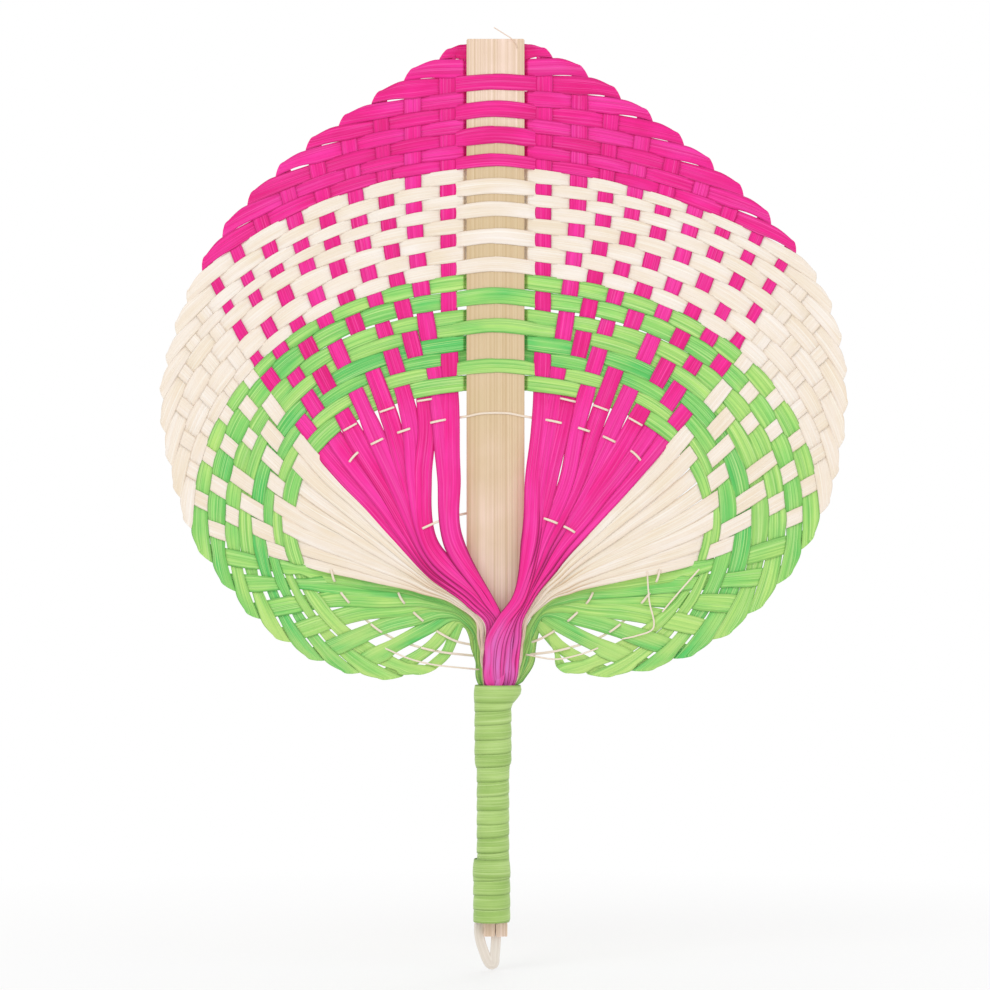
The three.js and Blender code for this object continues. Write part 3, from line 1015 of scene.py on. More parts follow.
@dataclass
class Blade:
    """The woven blade: strips that run as rows from the slat to the rim, fold and come back as ribs."""

    # Overall sizes
    half_width: float = 140.0
    slat_top: float = 303.6
    slat_width: float = SLAT_WIDTH
    slat_thickness: float = SLAT_THICKNESS
    grip_top: float = GRIP_TOP
    grip_half_width: float = 5.4
    strip_thickness: float = 0.14

    # Turns of the weave
    twill_first_row: int = 21
    last_row_over: int = 3
    last_row_under: int = 2
    doubled_row: int = 21
    weave_depth: float = 0.33
    weave_crown: float = 0.12
    station_step: float = 1.3
    dive_waist: float = 0.03

    # Rim and folds, with the rim's points as shares of the blade's half width and height
    rim: dict[Side, tuple[tuple[Point, ...], ...]] = by_side(
        left=(
            ((0.084, 0.992), (0.183, 0.968), (0.379, 0.896), (0.555, 0.828), (0.742, 0.726), (0.851, 0.63)),
            ((0.924, 0.521), (0.948, 0.444), (0.929, 0.354), (0.86, 0.232)),
            ((0.754, 0.148), (0.66, 0.092), (0.49, 0.034), (0.314, 0.011), (0.152, 0.026)),
        ),
        right=(
            ((0.086, 0.991), (0.177, 0.974), (0.393, 0.9), (0.561, 0.831), (0.735, 0.748), (0.878, 0.658)),
            ((0.957, 0.577), (0.994, 0.458), (0.961, 0.316), (0.921, 0.257)),
            ((0.833, 0.173), (0.679, 0.089), (0.512, 0.038), (0.316, 0.015), (0.135, 0.028)),
        ),
    )
    rim_steps: int = 40
    fold_entry_angle: float = 0.42
    fold_bulge: float = 0.9
    shoulder: float = 0.55
    last_tip: float = 0.4
    slit_waist: float = 0.32

    # Rows
    row_steps: int = 160
    full_rows_start: int = 17
    full_row_leave: float = 0.65
    full_row_arrive: float = -0.12
    last_row_sweep: dict[Side, float] = by_side(left=0.0, right=0.25)
    row_arch: float = 1.3
    arch_run: float = 13.0
    arch_whole_width: float = 60.0
    row_fill: float = 1.08
    row_slack: float = 1.3
    slack_ribs: float = 14.0
    slat_dive: float = 2.0
    lobe_fill: Point = (0.6, 1.0)

    # Ribs in the weave
    rib_steps: int = 400
    rib_fill: float = 1.02
    rib_bow: float = 4.0
    outer_rib_share: tuple[float, ...] = (0.92, 0.82, 0.68)
    last_rib_lean: dict[Side, float] = by_side(left=0.0, right=4.5)

    # Lines where the weave ends and where the ribs gather, and how far single ribs lie outward of them
    weave_edge: tuple[Point, ...] = ((0.129, 0.425), (0.514, 0.348), (0.55, 0.178), (0.143, 0.047))
    gather: tuple[Point, ...] = ((0.118, 0.226), (0.168, 0.183), (0.208, 0.147), (0.1, 0.096))
    edge_shift: dict[Side, tuple[float, ...]] = by_side(
        left=(),
        right=(0.0, 0.0, 0.0, -0.8, -1.6, -2.6, -3.6, -4.6, -5.5, -5.0, -4.2, -3.4, -2.6, -1.8, -1.0, -0.5),
    )
    rib_shift: dict[Side, tuple[float, ...]] = by_side(
        left=(0.3, 0.0, 2.1, 1.6, 0.9, 0.3),
        right=(-0.6, -0.3, 0.1, 2.8, 2.1, 1.3, 0.7, 0.3),
    )
    gather_shift: dict[Side, tuple[float, ...]] = by_side(
        left=(0.1, 0.0, 8.6, 7.4, 6.6, 6.0, 5.5, 5.0, 4.6, 4.2, 3.6, 3.0, 2.4, 1.8, 1.2, 0.6),
        right=(-3.0, -2.7, -2.2, -1.3, -1.1, -1.0, -0.8, -0.6, -0.3),
    )

    # Ribs below the weave, with one value for each band in a list
    open_ribs: float = 165.0
    row_clear: float = 3.0
    settle_run: float = 7.0
    first_sink: float = 0.35
    lobe_first: int = 21
    lobe_narrowing: float = 0.4
    gather_width: dict[Side, tuple[float, ...]] = by_side(left=(1.14, 1.0, 0.95), right=(1.0, 1.0, 0.95))
    gather_curl: tuple[float, ...] = (0.35, 0.3, 0.25)
    strand_width: tuple[float, ...] = (2.4, 1.3, 1.7)
    # How far before the gathering line the painted shade in the creases of the ribs begins
    crease_shade_start: tuple[float, ...] = (25.0, 20.0, 0.0)
    strip_lean: float = 0.2
    strip_lean_spread: float = 0.4

    # Throat and tails
    gate_seed: int = 500
    side_seed: int = 40
    gate_sway: float = 0.7
    side_depth: dict[Side, float] = by_side(left=0.0, right=1.4)
    return_run: float = 6.0
    tail_pitch: float = 0.28
    tail_dip: float = 9.0
    tail_end: float = -30.0
    clearance: float = CLEARANCE

    def __post_init__(self) -> None:
        """Lay out both halves."""
        self.count = sum(band.count for band in BANDS)
        self.places = [(band, place) for band in BANDS for place in range(band.count)]
        self.heights = [height for band in BANDS for height in band.rows]
        self.halves = {side: self.lay_out(side) for side in Side}

    def point(self, share: Point) -> np.ndarray:
        """Turn shares of the blade's half width and height into a point of the half plane."""
        return np.array((share[0] * self.half_width, blend(self.grip_top, self.slat_top, share[1])))

    def gathered(self, line: tuple[Point, ...], strip: int) -> np.ndarray:
        """Find a strip's point on a line that gathers the ribs.

        Args:
            line: Points for the first strip of each band and the last strip of all.
            strip: Number of the strip.

        Returns:
            Point in the half plane.
        """
        band, place = self.places[strip]
        span = band.count - 1 if band is BANDS[-1] else band.count
        share = BANDS.index(band) + place / span
        knots = np.array([self.point(p) for p in line])
        i = min(int(share), len(knots) - 2)
        before, start = knots[max(i - 1, 0)], knots[i]
        end, after = knots[i + 1], knots[min(i + 2, len(knots) - 1)]
        return bend(start, end, (end - before) / 2, (after - start) / 2, share - i)

    def fold_points(self, side: Side) -> list[tuple[np.ndarray, np.ndarray]]:
        """Space the folds evenly along each band of the rim.

        Args:
            side: Half of the blade.

        Returns:
            Point and heading of each fold.
        """
        stretches = self.rim[side]
        knots = [self.point(p) for stretch in stretches for p in stretch]
        course = Course.through(knots, self.rim_steps * (len(knots) - 1))
        folds = []
        start, used = 0.0, -1
        for band, stretch in zip(BANDS, stretches):
            used += len(stretch)
            end = course.marks[used * self.rim_steps]
            for place in range(band.count):
                mark = blend(start, end, (place + 0.5) / band.count)
                folds.append((course.place(mark), course.heading(mark)))
            start = end
        return folds

    def row_course(self, side: Side, strip: int, fold: tuple[np.ndarray, np.ndarray]) -> Course:
        """Sweep a row from the slat's centre line out to its fold, with a fuller sweep in the lower rows.

        Args:
            side: Half of the blade.
            strip: Number of the strip.
            fold: Point and heading of the rim at the fold.

        Returns:
            The row's path.
        """
        end, rim = fold
        turn_cos, turn_sin = math.cos(self.fold_entry_angle), math.sin(self.fold_entry_angle)
        arrive = np.array((rim[0] * turn_cos - rim[1] * turn_sin, rim[0] * turn_sin + rim[1] * turn_cos))
        turn = abs(math.atan2(arrive[1], arrive[0]))
        sweep = 2 * math.pi - turn if arrive[1] > 0 > arrive[0] else turn
        start = np.array((0.0, self.heights[strip]))
        reach = np.linalg.norm(end - start) / (3 * math.cos(sweep / 4) ** 2)
        full = math.sqrt(max(0, strip + 1 - self.full_rows_start) / (self.count - self.full_rows_start))
        leave = start + np.array((reach * (1 + self.full_row_leave * full), 0.0))
        sweep_in = self.full_row_arrive * full
        if strip + 1 == self.count:
            sweep_in += self.last_row_sweep[side]
        near = end - arrive * reach * (1 + sweep_in)
        t = np.linspace(0, 1, self.row_steps)[:, None]
        u = 1 - t
        points = u ** 3 * start + 3 * t * u ** 2 * leave + 3 * t * t * u * near + t ** 3 * end
        sag = self.row_arch * min(1.0, end[0] / self.arch_whole_width)
        points[:, 1] -= sag * (1 - np.exp(-(points[:, 0] / self.arch_run) ** 2)) * u[:, 0]
        return Course(points)

    def tail_depth(self, strip: int) -> float:
        """Depth of a strip's tail: the last band lies behind the tang and the others before it."""
        behind = self.count - BANDS[-1].count
        skip = self.slat_thickness / 2 + self.clearance
        if strip < behind:
            return -skip - (behind - 0.5 - strip) * self.tail_pitch
        return skip + (strip - behind + 0.5) * self.tail_pitch

    def tail_reach(self, strip: int) -> float:
        """How far out a strip's tail reaches in the round of the bundle inside the grip."""
        front, back = self.tail_depth(0), self.tail_depth(self.count - 1)
        level = (self.tail_depth(strip) - (front + back) / 2) / ((back - front) / 2 + 3 * self.clearance)
        return self.grip_half_width * math.sqrt(1 - level * level) - 2 * self.clearance

    def gate_points(self, side: Side, strip: int) -> list[np.ndarray]:
        """Find where a strip passes the gates of the throat.

        Args:
            side: Half of the blade.
            strip: Number of the strip.

        Returns:
            Points in the half plane, from the blade down.
        """
        band, place = self.places[strip]
        share = place / (band.count - 1)
        gates = THROAT_GATES[side][BANDS.index(band)]
        chance = np.random.default_rng(self.gate_seed + self.side_seed * side.value + strip)
        sway = chance.uniform(-self.gate_sway, self.gate_sway, len(gates))
        spread = [blend(np.array(inner), np.array(outer), share) for inner, outer in gates]
        return [point + np.array((offset, 0.0)) for point, offset in zip(spread, sway)]

    @staticmethod
    def outward(shifts: tuple[float, ...], strip: int) -> np.ndarray:
        """Shift of a strip away from the slat, which is none past the end of the list."""
        return np.array((shifts[strip] if strip < len(shifts) else 0.0, 0.0))

    def rib_course(self, side: Side, strip: int, fold: np.ndarray) -> Course:
        """Lay a rib from its fold through the gathering lines and the throat into the handle.

        Args:
            side: Half of the blade.
            strip: Number of the strip.
            fold: Point of its fold.

        Returns:
            The rib's path.
        """
        edge = self.gathered(self.weave_edge, strip) + self.outward(self.edge_shift[side], strip)
        gather = self.gathered(self.gather, strip) + self.outward(self.gather_shift[side], strip)
        lines = [edge, blend(edge, gather, 0.5) + self.outward(self.rib_shift[side], strip), gather]
        if strip < BANDS[0].count:
            lines.insert(0, blend(fold, edge, 0.5) + np.array((self.rib_bow if strip else 0.0, 0.0)))
        if strip + 1 == self.count:
            lines = [line + np.array((self.last_rib_lean[side], 0.0)) for line in lines]
        gates = self.gate_points(side, strip)
        inside = self.tail_reach(strip) / 2
        tail = [(inside, height) for height in (self.grip_top - self.tail_dip, 0.0, self.tail_end)]
        return Course.through([fold, *lines, *gates, *tail], self.rib_steps)

    def lay_out(self, side: Side) -> HalfBlade:
        """Find the courses of one half of the blade and where they cross.

        Args:
            side: Half of the blade.

        Returns:
            The half's layout.
        """
        folds = self.fold_points(side)
        rows = [self.row_course(side, strip, fold) for strip, fold in enumerate(folds)]
        ribs = [self.rib_course(side, strip, fold[0]) for strip, fold in enumerate(folds)]
        meets = {}
        for rib in range(self.count):
            for row in range(rib + 1, self.count):
                meets[rib, row] = ribs[rib].crossing(rows[row])
        return HalfBlade(side, folds, rows, ribs, meets)

    def rib_face(self, rib: int, row: int) -> Face:
        """Tell which face a rib shows at a row: plain weave, then twill, then the last row's own turns.

        Args:
            rib: Number of the rib.
            row: Number of the row.

        Returns:
            The front where the rib passes over the row.
        """
        step = row - rib
        front = step % 2 == 0 if row + 1 < self.twill_first_row else step % 4 in (2, 3)
        if row + 1 == self.count and rib < self.last_row_over + self.last_row_under:
            front = rib >= self.last_row_over
        return Face.FRONT if front else Face.BACK

    def looseness(self, rib: int, row: int, lot: int) -> float:
        """Share of the space at a crossing that a strip fills, which is less among the last band's own ribs.

        Args:
            rib: Number of the rib.
            row: Number of the row.
            lot: Number that sets one half and one direction apart from the others.

        Returns:
            The share.
        """
        if rib < self.count - BANDS[-1].count:
            return 1.0
        return float(np.random.default_rng((rib, row, lot + 1)).uniform(*self.lobe_fill))

    def slat_face(self, row: int) -> Face:
        """Tell which face of the slat a row passes: by turns, but the doubled row is like the next.

        Args:
            row: Number of the row.

        Returns:
            The face of the slat.
        """
        turn = row - 1 if row > self.doubled_row else row
        return Face.FRONT if turn > 1 and turn % 2 == 0 else Face.BACK

    def rib_depth(self, half: HalfBlade, strip: int, marks: np.ndarray | float) -> np.ndarray | float:
        """Find the depth of a rib below the weave, where it sinks into its place in the bundle.

        Args:
            half: Half of the blade.
            strip: Number of the strip.
            marks: Distances along the rib.

        Returns:
            Depths behind the blade's middle plane.
        """
        leave, start = 0.0, self.weave_depth
        if strip + 1 < self.count:
            leave = half.meets[strip, self.count - 1][0]
            start = self.rib_face(strip, self.count - 1).value * self.weave_depth
        course, gates = half.ribs[strip], self.gate_points(half.side, strip)
        gathered = course.nearest(self.gathered(self.gather, strip))
        bunched, collar = course.nearest(gates[1]), course.nearest(gates[-1])
        sink = blend(self.first_sink, 1.0, ease((marks - leave) / (gathered - leave)))
        settled = ease((marks - leave - self.row_clear) / self.settle_run)
        depth = blend(start, sink * self.tail_depth(strip), settled)
        if strip < BANDS[0].count:
            crossed = ease((marks - gathered) / (bunched - gathered))
            returned = ease((marks - collar + self.return_run / 2) / self.return_run)
            depth = depth - self.side_depth[half.side] * (crossed - returned)
        return depth

    def build(self) -> None:
        """Make every strip and set it in place of its solid."""
        for strip, (band, place) in enumerate(self.places):
            node = band.node(place)
            name = node or f"strip_{band.name}_added"
            loft = StripMaker(self, strip).loft(band.tones[place])
            mount(loft_piece(f"{name}_splint", loft), node, band.finish)


# First half width, second half width and depth of a strip at one place
Section = tuple[np.ndarray, np.ndarray, float]


@dataclass(frozen=True)
class Stop:
    """A section of half a strip.

    Attributes:
        centre: Middle of the section in the half plane.
        first: From the middle to the first edge: upper on a row, slat side on a rib.
        second: From the second edge to the middle.
        depth: Depth behind the blade's middle plane.
        crown: Rise of the middle over the edges, towards the back.
        roll: Turn about the crease: 0 on a row and half a turn on a rib.
        bulge: How far the middle swells out over the crease.
        outward: Direction that the crease faces, where the strip turns over.
        lean: How far the first edge lies behind the middle.
    """

    centre: np.ndarray
    first: np.ndarray
    second: np.ndarray
    depth: float
    crown: float
    roll: float
    bulge: float = 0.0
    outward: np.ndarray | Point = (0.0, 0.0)
    lean: float = 0.0


class StripMaker:
    """Makes one strip of the blade."""

    lanes = np.array((1.0, 0.82, 0.42, 0.0, -0.42, -0.82, -1.0))
    first_seed: int = 100
    rib_lot: int = 3
    width_spread: Point = (1.0, 1.08)
    strand_spread: Point = (0.8, 1.35)
    edge_thinning: float = 0.75
    edge_power: int = 6
    wave_lengths: tuple[float, ...] = (23.0, 51.0, 97.0)
    wave_height: float = 0.018

    # Between two crossings
    least_steps: int = 6
    rounded_share: float = 0.6
    dive_share: float = 0.6
    level_step: float = 0.5
    float_bow: float = 0.1
    fold_steps: int = 7

    # From the weave to the end of the tail
    release_run: float = 9.0
    throat_step: float = 1.1
    throat_end: float = 12.0
    tail_start: float = 14.0
    tail_steps: int = 6
    squeeze_run: float = 4.0
    strand_curl: float = 0.5
    width_uncurl: float = 0.2

    # Tone, painted crease shade and stain
    stain_top: float = 80.0
    stain_fade: float = 18.0
    stain_strength: float = 0.85
    crease_shade_strength: float = 0.9
    open_fade: float = 25.0
    side_fade: float = 40.0

    def __init__(self, blade: Blade, strip: int) -> None:
        """Take the strip to make.

        Args:
            blade: The blade that the strip belongs to.
            strip: Number of the strip from the top.
        """
        self.blade = blade
        self.strip = strip
        self.band, place = blade.places[strip]
        self.slat_share = self.band.slat_share(place)
        self.chance = np.random.default_rng(self.first_seed + strip)
        self.cap = 0.5 * self.band.width * self.chance.uniform(*self.width_spread)
        self.crease_shades: list[np.ndarray] = []

    def between(
        self,
        stops: list[Stop],
        course: Course,
        marks: tuple[float, float],
        start: Section,
        end: Section,
        roll: float,
        shoulders: tuple[float, float] = (0.0, 0.0),
        slit: float = 0.0,
        tip: float = 0.0,
    ) -> None:
        """Add the sections of a stretch between two crossings, leaving out its end.

        Args:
            stops: Sections so far.
            course: Path of the strip.
            marks: Distances along the path of the two crossings.
            start: Section at the first crossing.
            end: Section at the second crossing.
            roll: 0 on a row, half a turn on a rib.
            shoulders: How far the first edge is rounded off at the start and at the end.
            slit: How far the second edge draws back, which leaves a slit to the next strip.
            tip: How far the second edge is rounded off at the end.
        """
        span = marks[1] - marks[0]
        steps = max(self.least_steps, math.ceil(span / self.blade.station_step))
        for share in np.arange(steps) / steps:
            centre = course.place(blend(*marks, share))
            arch = math.sin(math.pi * share)
            opened = max(0.0, self.rounded_share - share) / self.rounded_share
            closed = max(0.0, share - (1 - self.rounded_share)) / self.rounded_share
            first = blend(start[0], end[0], share)
            first = first * (1 - shoulders[0] * opened ** 2 - shoulders[1] * closed ** 2)
            second = blend(start[1], end[1], share) * (1 - slit * arch - tip * closed ** 2)
            if start[2] * end[2] > 0 and abs(start[2] - end[2]) < self.level_step:
                depth = blend(start[2], end[2], share) * (1 + self.float_bow * arch)
            else:
                depth = blend(start[2], end[2], ease((share - 0.5) / self.dive_share + 0.5))
                waist = 1 - self.blade.dive_waist * arch
                first, second = first * waist, second * waist
            stops.append(Stop(centre, first, second, depth, self.blade.weave_crown * depth, roll))

    def row_halves(self, half: HalfBlade, rib: int) -> Section:
        """Half widths and depth of this strip's row where it crosses a rib.

        Args:
            half: Half of the blade.
            rib: Number of the rib.

        Returns:
            First half width, second half width and depth.
        """
        blade, row = self.blade, self.strip
        fill = blade.row_fill * blade.looseness(rib, row, half.side.value)
        mark, along_row = half.meets[rib, row]
        upper = half.meets[rib, row - 1][0] if row - 1 > rib else 0.0
        lower = half.meets[rib, row + 1][0] if row + 1 < blade.count else mark + 2 * self.cap
        rib_way = half.ribs[rib].heading(mark)
        sine = abs(cross(rib_way, half.rows[row].heading(along_row)))
        near_slat = self.slat_share if self.slat_share < 1 else blade.row_slack
        limit = self.cap * blend(near_slat, blade.row_slack, ease(rib / blade.slack_ribs)) / sine
        above = min(0.5 * fill * (mark - upper), limit)
        below = min(0.5 * fill * (lower - mark), limit)
        depth = -blade.rib_face(rib, row).value * blade.weave_depth
        return -rib_way * above, -rib_way * below, depth

    def rib_halves(self, half: HalfBlade, row: int) -> Section:
        """Half widths and depth of this strip's rib where it crosses a row.

        Args:
            half: Half of the blade.
            row: Number of the row.

        Returns:
            First half width, second half width and depth.
        """
        blade, rib = self.blade, self.strip
        fill = blade.rib_fill * blade.looseness(rib, row, self.rib_lot + half.side.value)
        mark, along_row = half.meets[rib, row]
        inner = half.meets[rib - 1, row][1] if rib else blade.slat_width / 2
        outer = half.meets[rib + 1, row][1] if rib + 1 < row else half.rows[row].length
        row_way = half.rows[row].heading(along_row)
        sine = abs(cross(row_way, half.ribs[rib].heading(mark)))
        toward = min(0.5 * fill * (along_row - inner), self.cap / sine)
        away = min(0.5 * fill * (outer - along_row), self.cap / sine)
        first_outer = BANDS[0].count - len(blade.outer_rib_share)
        if first_outer <= rib < BANDS[0].count and row < blade.full_rows_start:
            share = blade.outer_rib_share[rib - first_outer]
            toward, away = share * toward, share * away
        depth = blade.rib_face(rib, row).value * blade.weave_depth
        return -row_way * toward, -row_way * away, depth

    def row(self, half: HalfBlade, stops: list[Stop]) -> None:
        """Add the sections from the slat's centre line to the fold.

        Args:
            half: Half of the blade.
            stops: Sections so far.
        """
        blade, strip = self.blade, self.strip
        course = half.rows[strip]
        pass_depth = blade.slat_thickness / 2 + blade.strip_thickness
        depth = blade.slat_face(strip).value * pass_depth
        up = np.array((0.0, 1.0)) * self.cap * self.slat_share
        here = (up, up, depth)
        edge = blade.slat_width / 2
        stretches = [(0.0, here), (edge, here)]
        crossings = [(half.meets[rib, strip][1], self.row_halves(half, rib)) for rib in range(strip)]
        if crossings and blade.slat_face(strip) is Face.BACK and blade.rib_face(0, strip) is Face.BACK:
            stretches.append((edge + blade.slat_dive, crossings[0][1]))
        stretches += crossings
        stretches.append((course.length, self.fold_halves(half)))
        for (mark, start), (next_mark, end) in zip(stretches, stretches[1:]):
            last = next_mark == course.length
            slit = 0.0
            if last and self.band is BANDS[0]:
                slit = blade.slit_waist * self.chance.uniform(0.0, 1.0)
            shoulders = (0.0, blade.shoulder if last else 0.0)
            tip = self.tip() if last else 0.0
            self.between(stops, course, (mark, next_mark), start, end, 0.0, shoulders, slit, tip)

    def tip(self) -> float:
        """How far the second edge is rounded off at the fold, which is only on the last strip."""
        return self.blade.last_tip if self.strip + 1 == self.blade.count else 0.0

    def crease(self, half: HalfBlade) -> np.ndarray:
        """Find the direction of the crease where the row folds over into the rib.

        Args:
            half: Half of the blade.

        Returns:
            Unit vector along the crease.
        """
        row, rib = half.rows[self.strip], half.ribs[self.strip]
        return unit(row.heading(row.length) + rib.heading(0.0))

    def fold_halves(self, half: HalfBlade) -> Section:
        """Half widths and depth of the strip at its crease.

        Args:
            half: Half of the blade.

        Returns:
            First half width, second half width and depth.
        """
        row = half.rows[self.strip]
        crease = self.crease(half)
        width = self.cap
        if self.strip + 1 < self.blade.count:
            space = half.rows[self.strip + 1].distance(half.folds[self.strip][0][None])[0]
            width = min(width, 0.5 * space * self.blade.row_fill)
        reach = width / abs(cross(crease, row.heading(row.length)))
        return -crease * reach, -crease * reach, -self.blade.weave_depth

    def fold(self, half: HalfBlade, stops: list[Stop]) -> None:
        """Add the sections that roll over the crease from the front to the back.

        Args:
            half: Half of the blade.
            stops: Sections so far.
        """
        first, second, _ = self.fold_halves(half)
        first, second = first * (1 - self.blade.shoulder), second * (1 - self.tip())
        crease = self.crease(half)
        outward = np.array((-crease[1], crease[0]))
        centre = half.folds[self.strip][0]
        for roll in np.linspace(0, math.pi, self.fold_steps):
            bulge = self.blade.fold_bulge * math.sin(roll)
            depth = -self.blade.weave_depth * math.cos(roll)
            stops.append(Stop(centre, first, second, depth, 0.0, roll, bulge, outward))

    def rib(self, half: HalfBlade, stops: list[Stop]) -> None:
        """Add the sections from the fold to the last row that the rib crosses.

        Args:
            half: Half of the blade.
            stops: Sections so far.
        """
        first, second, depth = self.fold_halves(half)
        stretches = [(0.0, (first, second, -depth))]
        for row in range(self.strip + 1, self.blade.count):
            stretches.append((half.meets[self.strip, row][0], self.rib_halves(half, row)))
        for (mark, start), (next_mark, end) in zip(stretches, stretches[1:]):
            shoulders = (0.0 if mark else self.blade.shoulder, 0.0)
            self.between(stops, half.ribs[self.strip], (mark, next_mark), start, end, math.pi, shoulders)
        leave, (first, second, depth) = stretches[-1]
        if not leave:
            first, second = first * (1 - self.blade.shoulder), second * (1 - self.tip())
        self.gathered(half, stops, leave, (first, second, depth))

    def gathered(self, half: HalfBlade, stops: list[Stop], leave: float, weave: Section) -> None:
        """Add the sections from the weave through the throat to the end of the tail.

        Args:
            half: Half of the blade.
            stops: Sections so far.
            leave: Distance along the rib where it leaves the weave.
            weave: Section there.
        """
        blade, strip = self.blade, self.strip
        course = half.ribs[strip]
        gates = blade.gate_points(half.side, strip)
        gathered = course.nearest(blade.gathered(blade.gather, strip))
        narrowed, bunched, collar = (course.nearest(gates[index]) for index in (0, 1, -1))
        throat = np.arange(leave, collar + self.throat_end, self.throat_step)
        grip = np.linspace(collar + self.tail_start, course.length, self.tail_steps)
        marks = np.concatenate((throat, grip))
        centres, ways = course.place(marks), course.heading(marks)
        sides = np.stack((ways[:, 1], -ways[:, 0]), axis=-1)
        order = BANDS.index(self.band)
        last_ribs = max(0.0, (strip + 1 - blade.lobe_first) / (blade.count - blade.lobe_first))
        open_width = self.cap * blade.gather_width[half.side][order] * (1 - blade.lobe_narrowing * last_ribs)
        strand = 0.5 * blade.strand_width[order] * self.chance.uniform(*self.strand_spread)
        tail = 0.5 * blade.tail_reach(strip)
        # Painted shade in the creases, rising as the ribs gather and bunch
        self.crease_shades.append(ease((marks - gathered + blade.crease_shade_start[order]) / (bunched - gathered)))
        width = blend(open_width, strand, ease((marks - gathered) / (narrowed - gathered)))
        width = blend(width, min(strand, tail), ease((marks - collar) / self.squeeze_run))
        free = ease((marks - leave) / self.release_run)
        depths = blade.rib_depth(half, strip, marks)
        lean = free * (blade.strip_lean + blade.strip_lean_spread * self.chance.uniform(-1.0, 1.0))
        widths = [blend(given[None], sides * width[:, None], free[:, None]) for given in weave[:2]]
        curl = np.maximum(blade.gather_curl[order], self.strand_curl - self.width_uncurl * width)
        crowns = blend(blade.weave_crown * weave[2], -curl, free)
        for centre, first, second, depth, crown, leaning in zip(centres, *widths, depths, crowns, lean):
            stops.append(Stop(centre, first, second, depth, crown, math.pi, lean=leaning))

    def half_rings(self, side: Side) -> np.ndarray:
        """Make the rings of one half of the strip, from the slat to the end of its tail.

        Args:
            side: Half of the blade.

        Returns:
            Rings of points in millimetres.
        """
        half = self.blade.halves[side]
        stops: list[Stop] = []
        self.row(half, stops)
        self.fold(half, stops)
        self.rib(half, stops)
        centre, first, second, outward = (
            np.array([getattr(stop, key) for stop in stops])
            for key in ("centre", "first", "second", "outward")
        )
        depth, crown, lean, roll, bulge = (
            np.array([getattr(stop, key) for stop in stops])[:, None]
            for key in ("depth", "crown", "lean", "roll", "bulge")
        )
        sway = self.sway(run_lengths(centre))
        lanes = self.lanes[None, :, None]
        reach = np.where(lanes >= 0, first[:, None] * lanes, second[:, None] * lanes) * sway[:, None, None]
        round_off = 1 - self.lanes[None] ** 2
        plane = centre[:, None] + reach + (bulge * round_off)[..., None] * outward[:, None]
        bow = depth + crown * round_off + lean * self.lanes[None]
        thinned = 1 - self.edge_thinning * np.abs(self.lanes[None]) ** self.edge_power
        thick = 0.5 * self.blade.strip_thickness * thinned
        lift = -np.cos(roll) * thick
        push = (np.sin(roll) * thick)[..., None] * outward[:, None]
        outer = np.dstack((plane + push, bow + lift))
        inner = np.dstack((plane - push, bow - lift))[:, ::-1]
        rings = np.concatenate((outer, inner), axis=1)
        return in_space(rings[..., :2], rings[..., 2], side.value)

    def sway(self, run: np.ndarray) -> np.ndarray:
        """Slight swelling and thinning of the strip along its length.

        Args:
            run: Distances along the half strip.

        Returns:
            Factors for its width.
        """
        waves = np.ones_like(run)
        for length in self.wave_lengths:
            start = self.chance.uniform(0, 2 * math.pi)
            waves += self.wave_height * np.sin(run / length * 2 * math.pi + start)
        return waves

    def loft(self, tone: float) -> Loft:
        """Make the whole strip.

        Args:
            tone: Shade of the strip's dye.

        Returns:
            The strip's skin.
        """
        left, right = (self.half_rings(side) for side in Side)
        rings = np.concatenate((left[:0:-1], right))
        middle = rings.mean(axis=1)
        across = np.concatenate((self.lanes, self.lanes[::-1]))
        # Painted crease shade of the gathered parts of both halves
        left_crease_shade, right_crease_shade = self.crease_shades
        pleat = np.zeros(len(rings))
        pleat[:len(left_crease_shade)] = left_crease_shade[::-1]
        pleat[-len(right_crease_shade):] = right_crease_shade
        pleat *= self.crease_shade_strength
        stain = self.stain_strength * ease((self.stain_top - middle[:, 2]) / self.stain_fade)
        below = ease((self.blade.open_ribs - middle[:, 2]) / self.open_fade)
        rightward = ease(middle[:, 0] / self.side_fade)
        shade = tone + self.band.rib_tone * below + self.band.right_tone * rightward
        return Loft(rings, run_lengths(middle), across, shade, pleat, stain, self.strip + 1.0)


# Loose strands

LOOSE_STEPS = 40
STRAND_SIDES = 8


def loose_path(knots: Sequence[Knot]) -> np.ndarray:
    """Lay the smooth path of a loose end.

    Args:
        knots: Points that the path passes, in millimetres.

    Returns:
        Points along the path.
    """
    given = np.array(knots)
    flat = given[:, [0, 2]]
    course = Course.through(flat, LOOSE_STEPS)
    marks = np.linspace(0, course.length, LOOSE_STEPS + 1)
    depth = np.interp(marks, [course.nearest(knot) for knot in flat], given[:, 1])
    return in_space(course.place(marks), depth)


def flat_rings(points: np.ndarray, ways: np.ndarray, across: np.ndarray, through: np.ndarray) -> np.ndarray:
    """Set one section square to a path at each of its points.

    Args:
        points: Points of the path.
        ways: Directions of the path there, as X and Z.
        across: Places of the section's own points across the path.
        through: Their places from front to back.

    Returns:
        Rings of points.
    """
    flat = np.stack((-ways[:, 1], np.zeros(len(ways)), ways[:, 0]), axis=-1)
    rings = points[:, None] + across[None, :, None] * flat[:, None]
    rings[..., 1] += through[None]
    return rings


def flat_strand(points: np.ndarray, width: float, thickness: float, tone: float, lot: float) -> Loft:
    """Make a flat strand along a path.

    Args:
        points: Points in millimetres.
        width: Width across the path.
        thickness: Thickness from front to back.
        tone: Shade of the strand.
        lot: Number that sets its fibres apart from those of other pieces.

    Returns:
        The strand's skin.
    """
    ways = unit(np.gradient(points[:, [0, 2]], axis=0))
    turn = np.linspace(0, 2 * math.pi, STRAND_SIDES, endpoint=False)
    rings = flat_rings(points, ways, 0.5 * width * np.cos(turn), 0.5 * thickness * np.sin(turn))
    return Loft(rings, run_lengths(points), np.cos(turn), tone, lot=lot)


# Spine slat


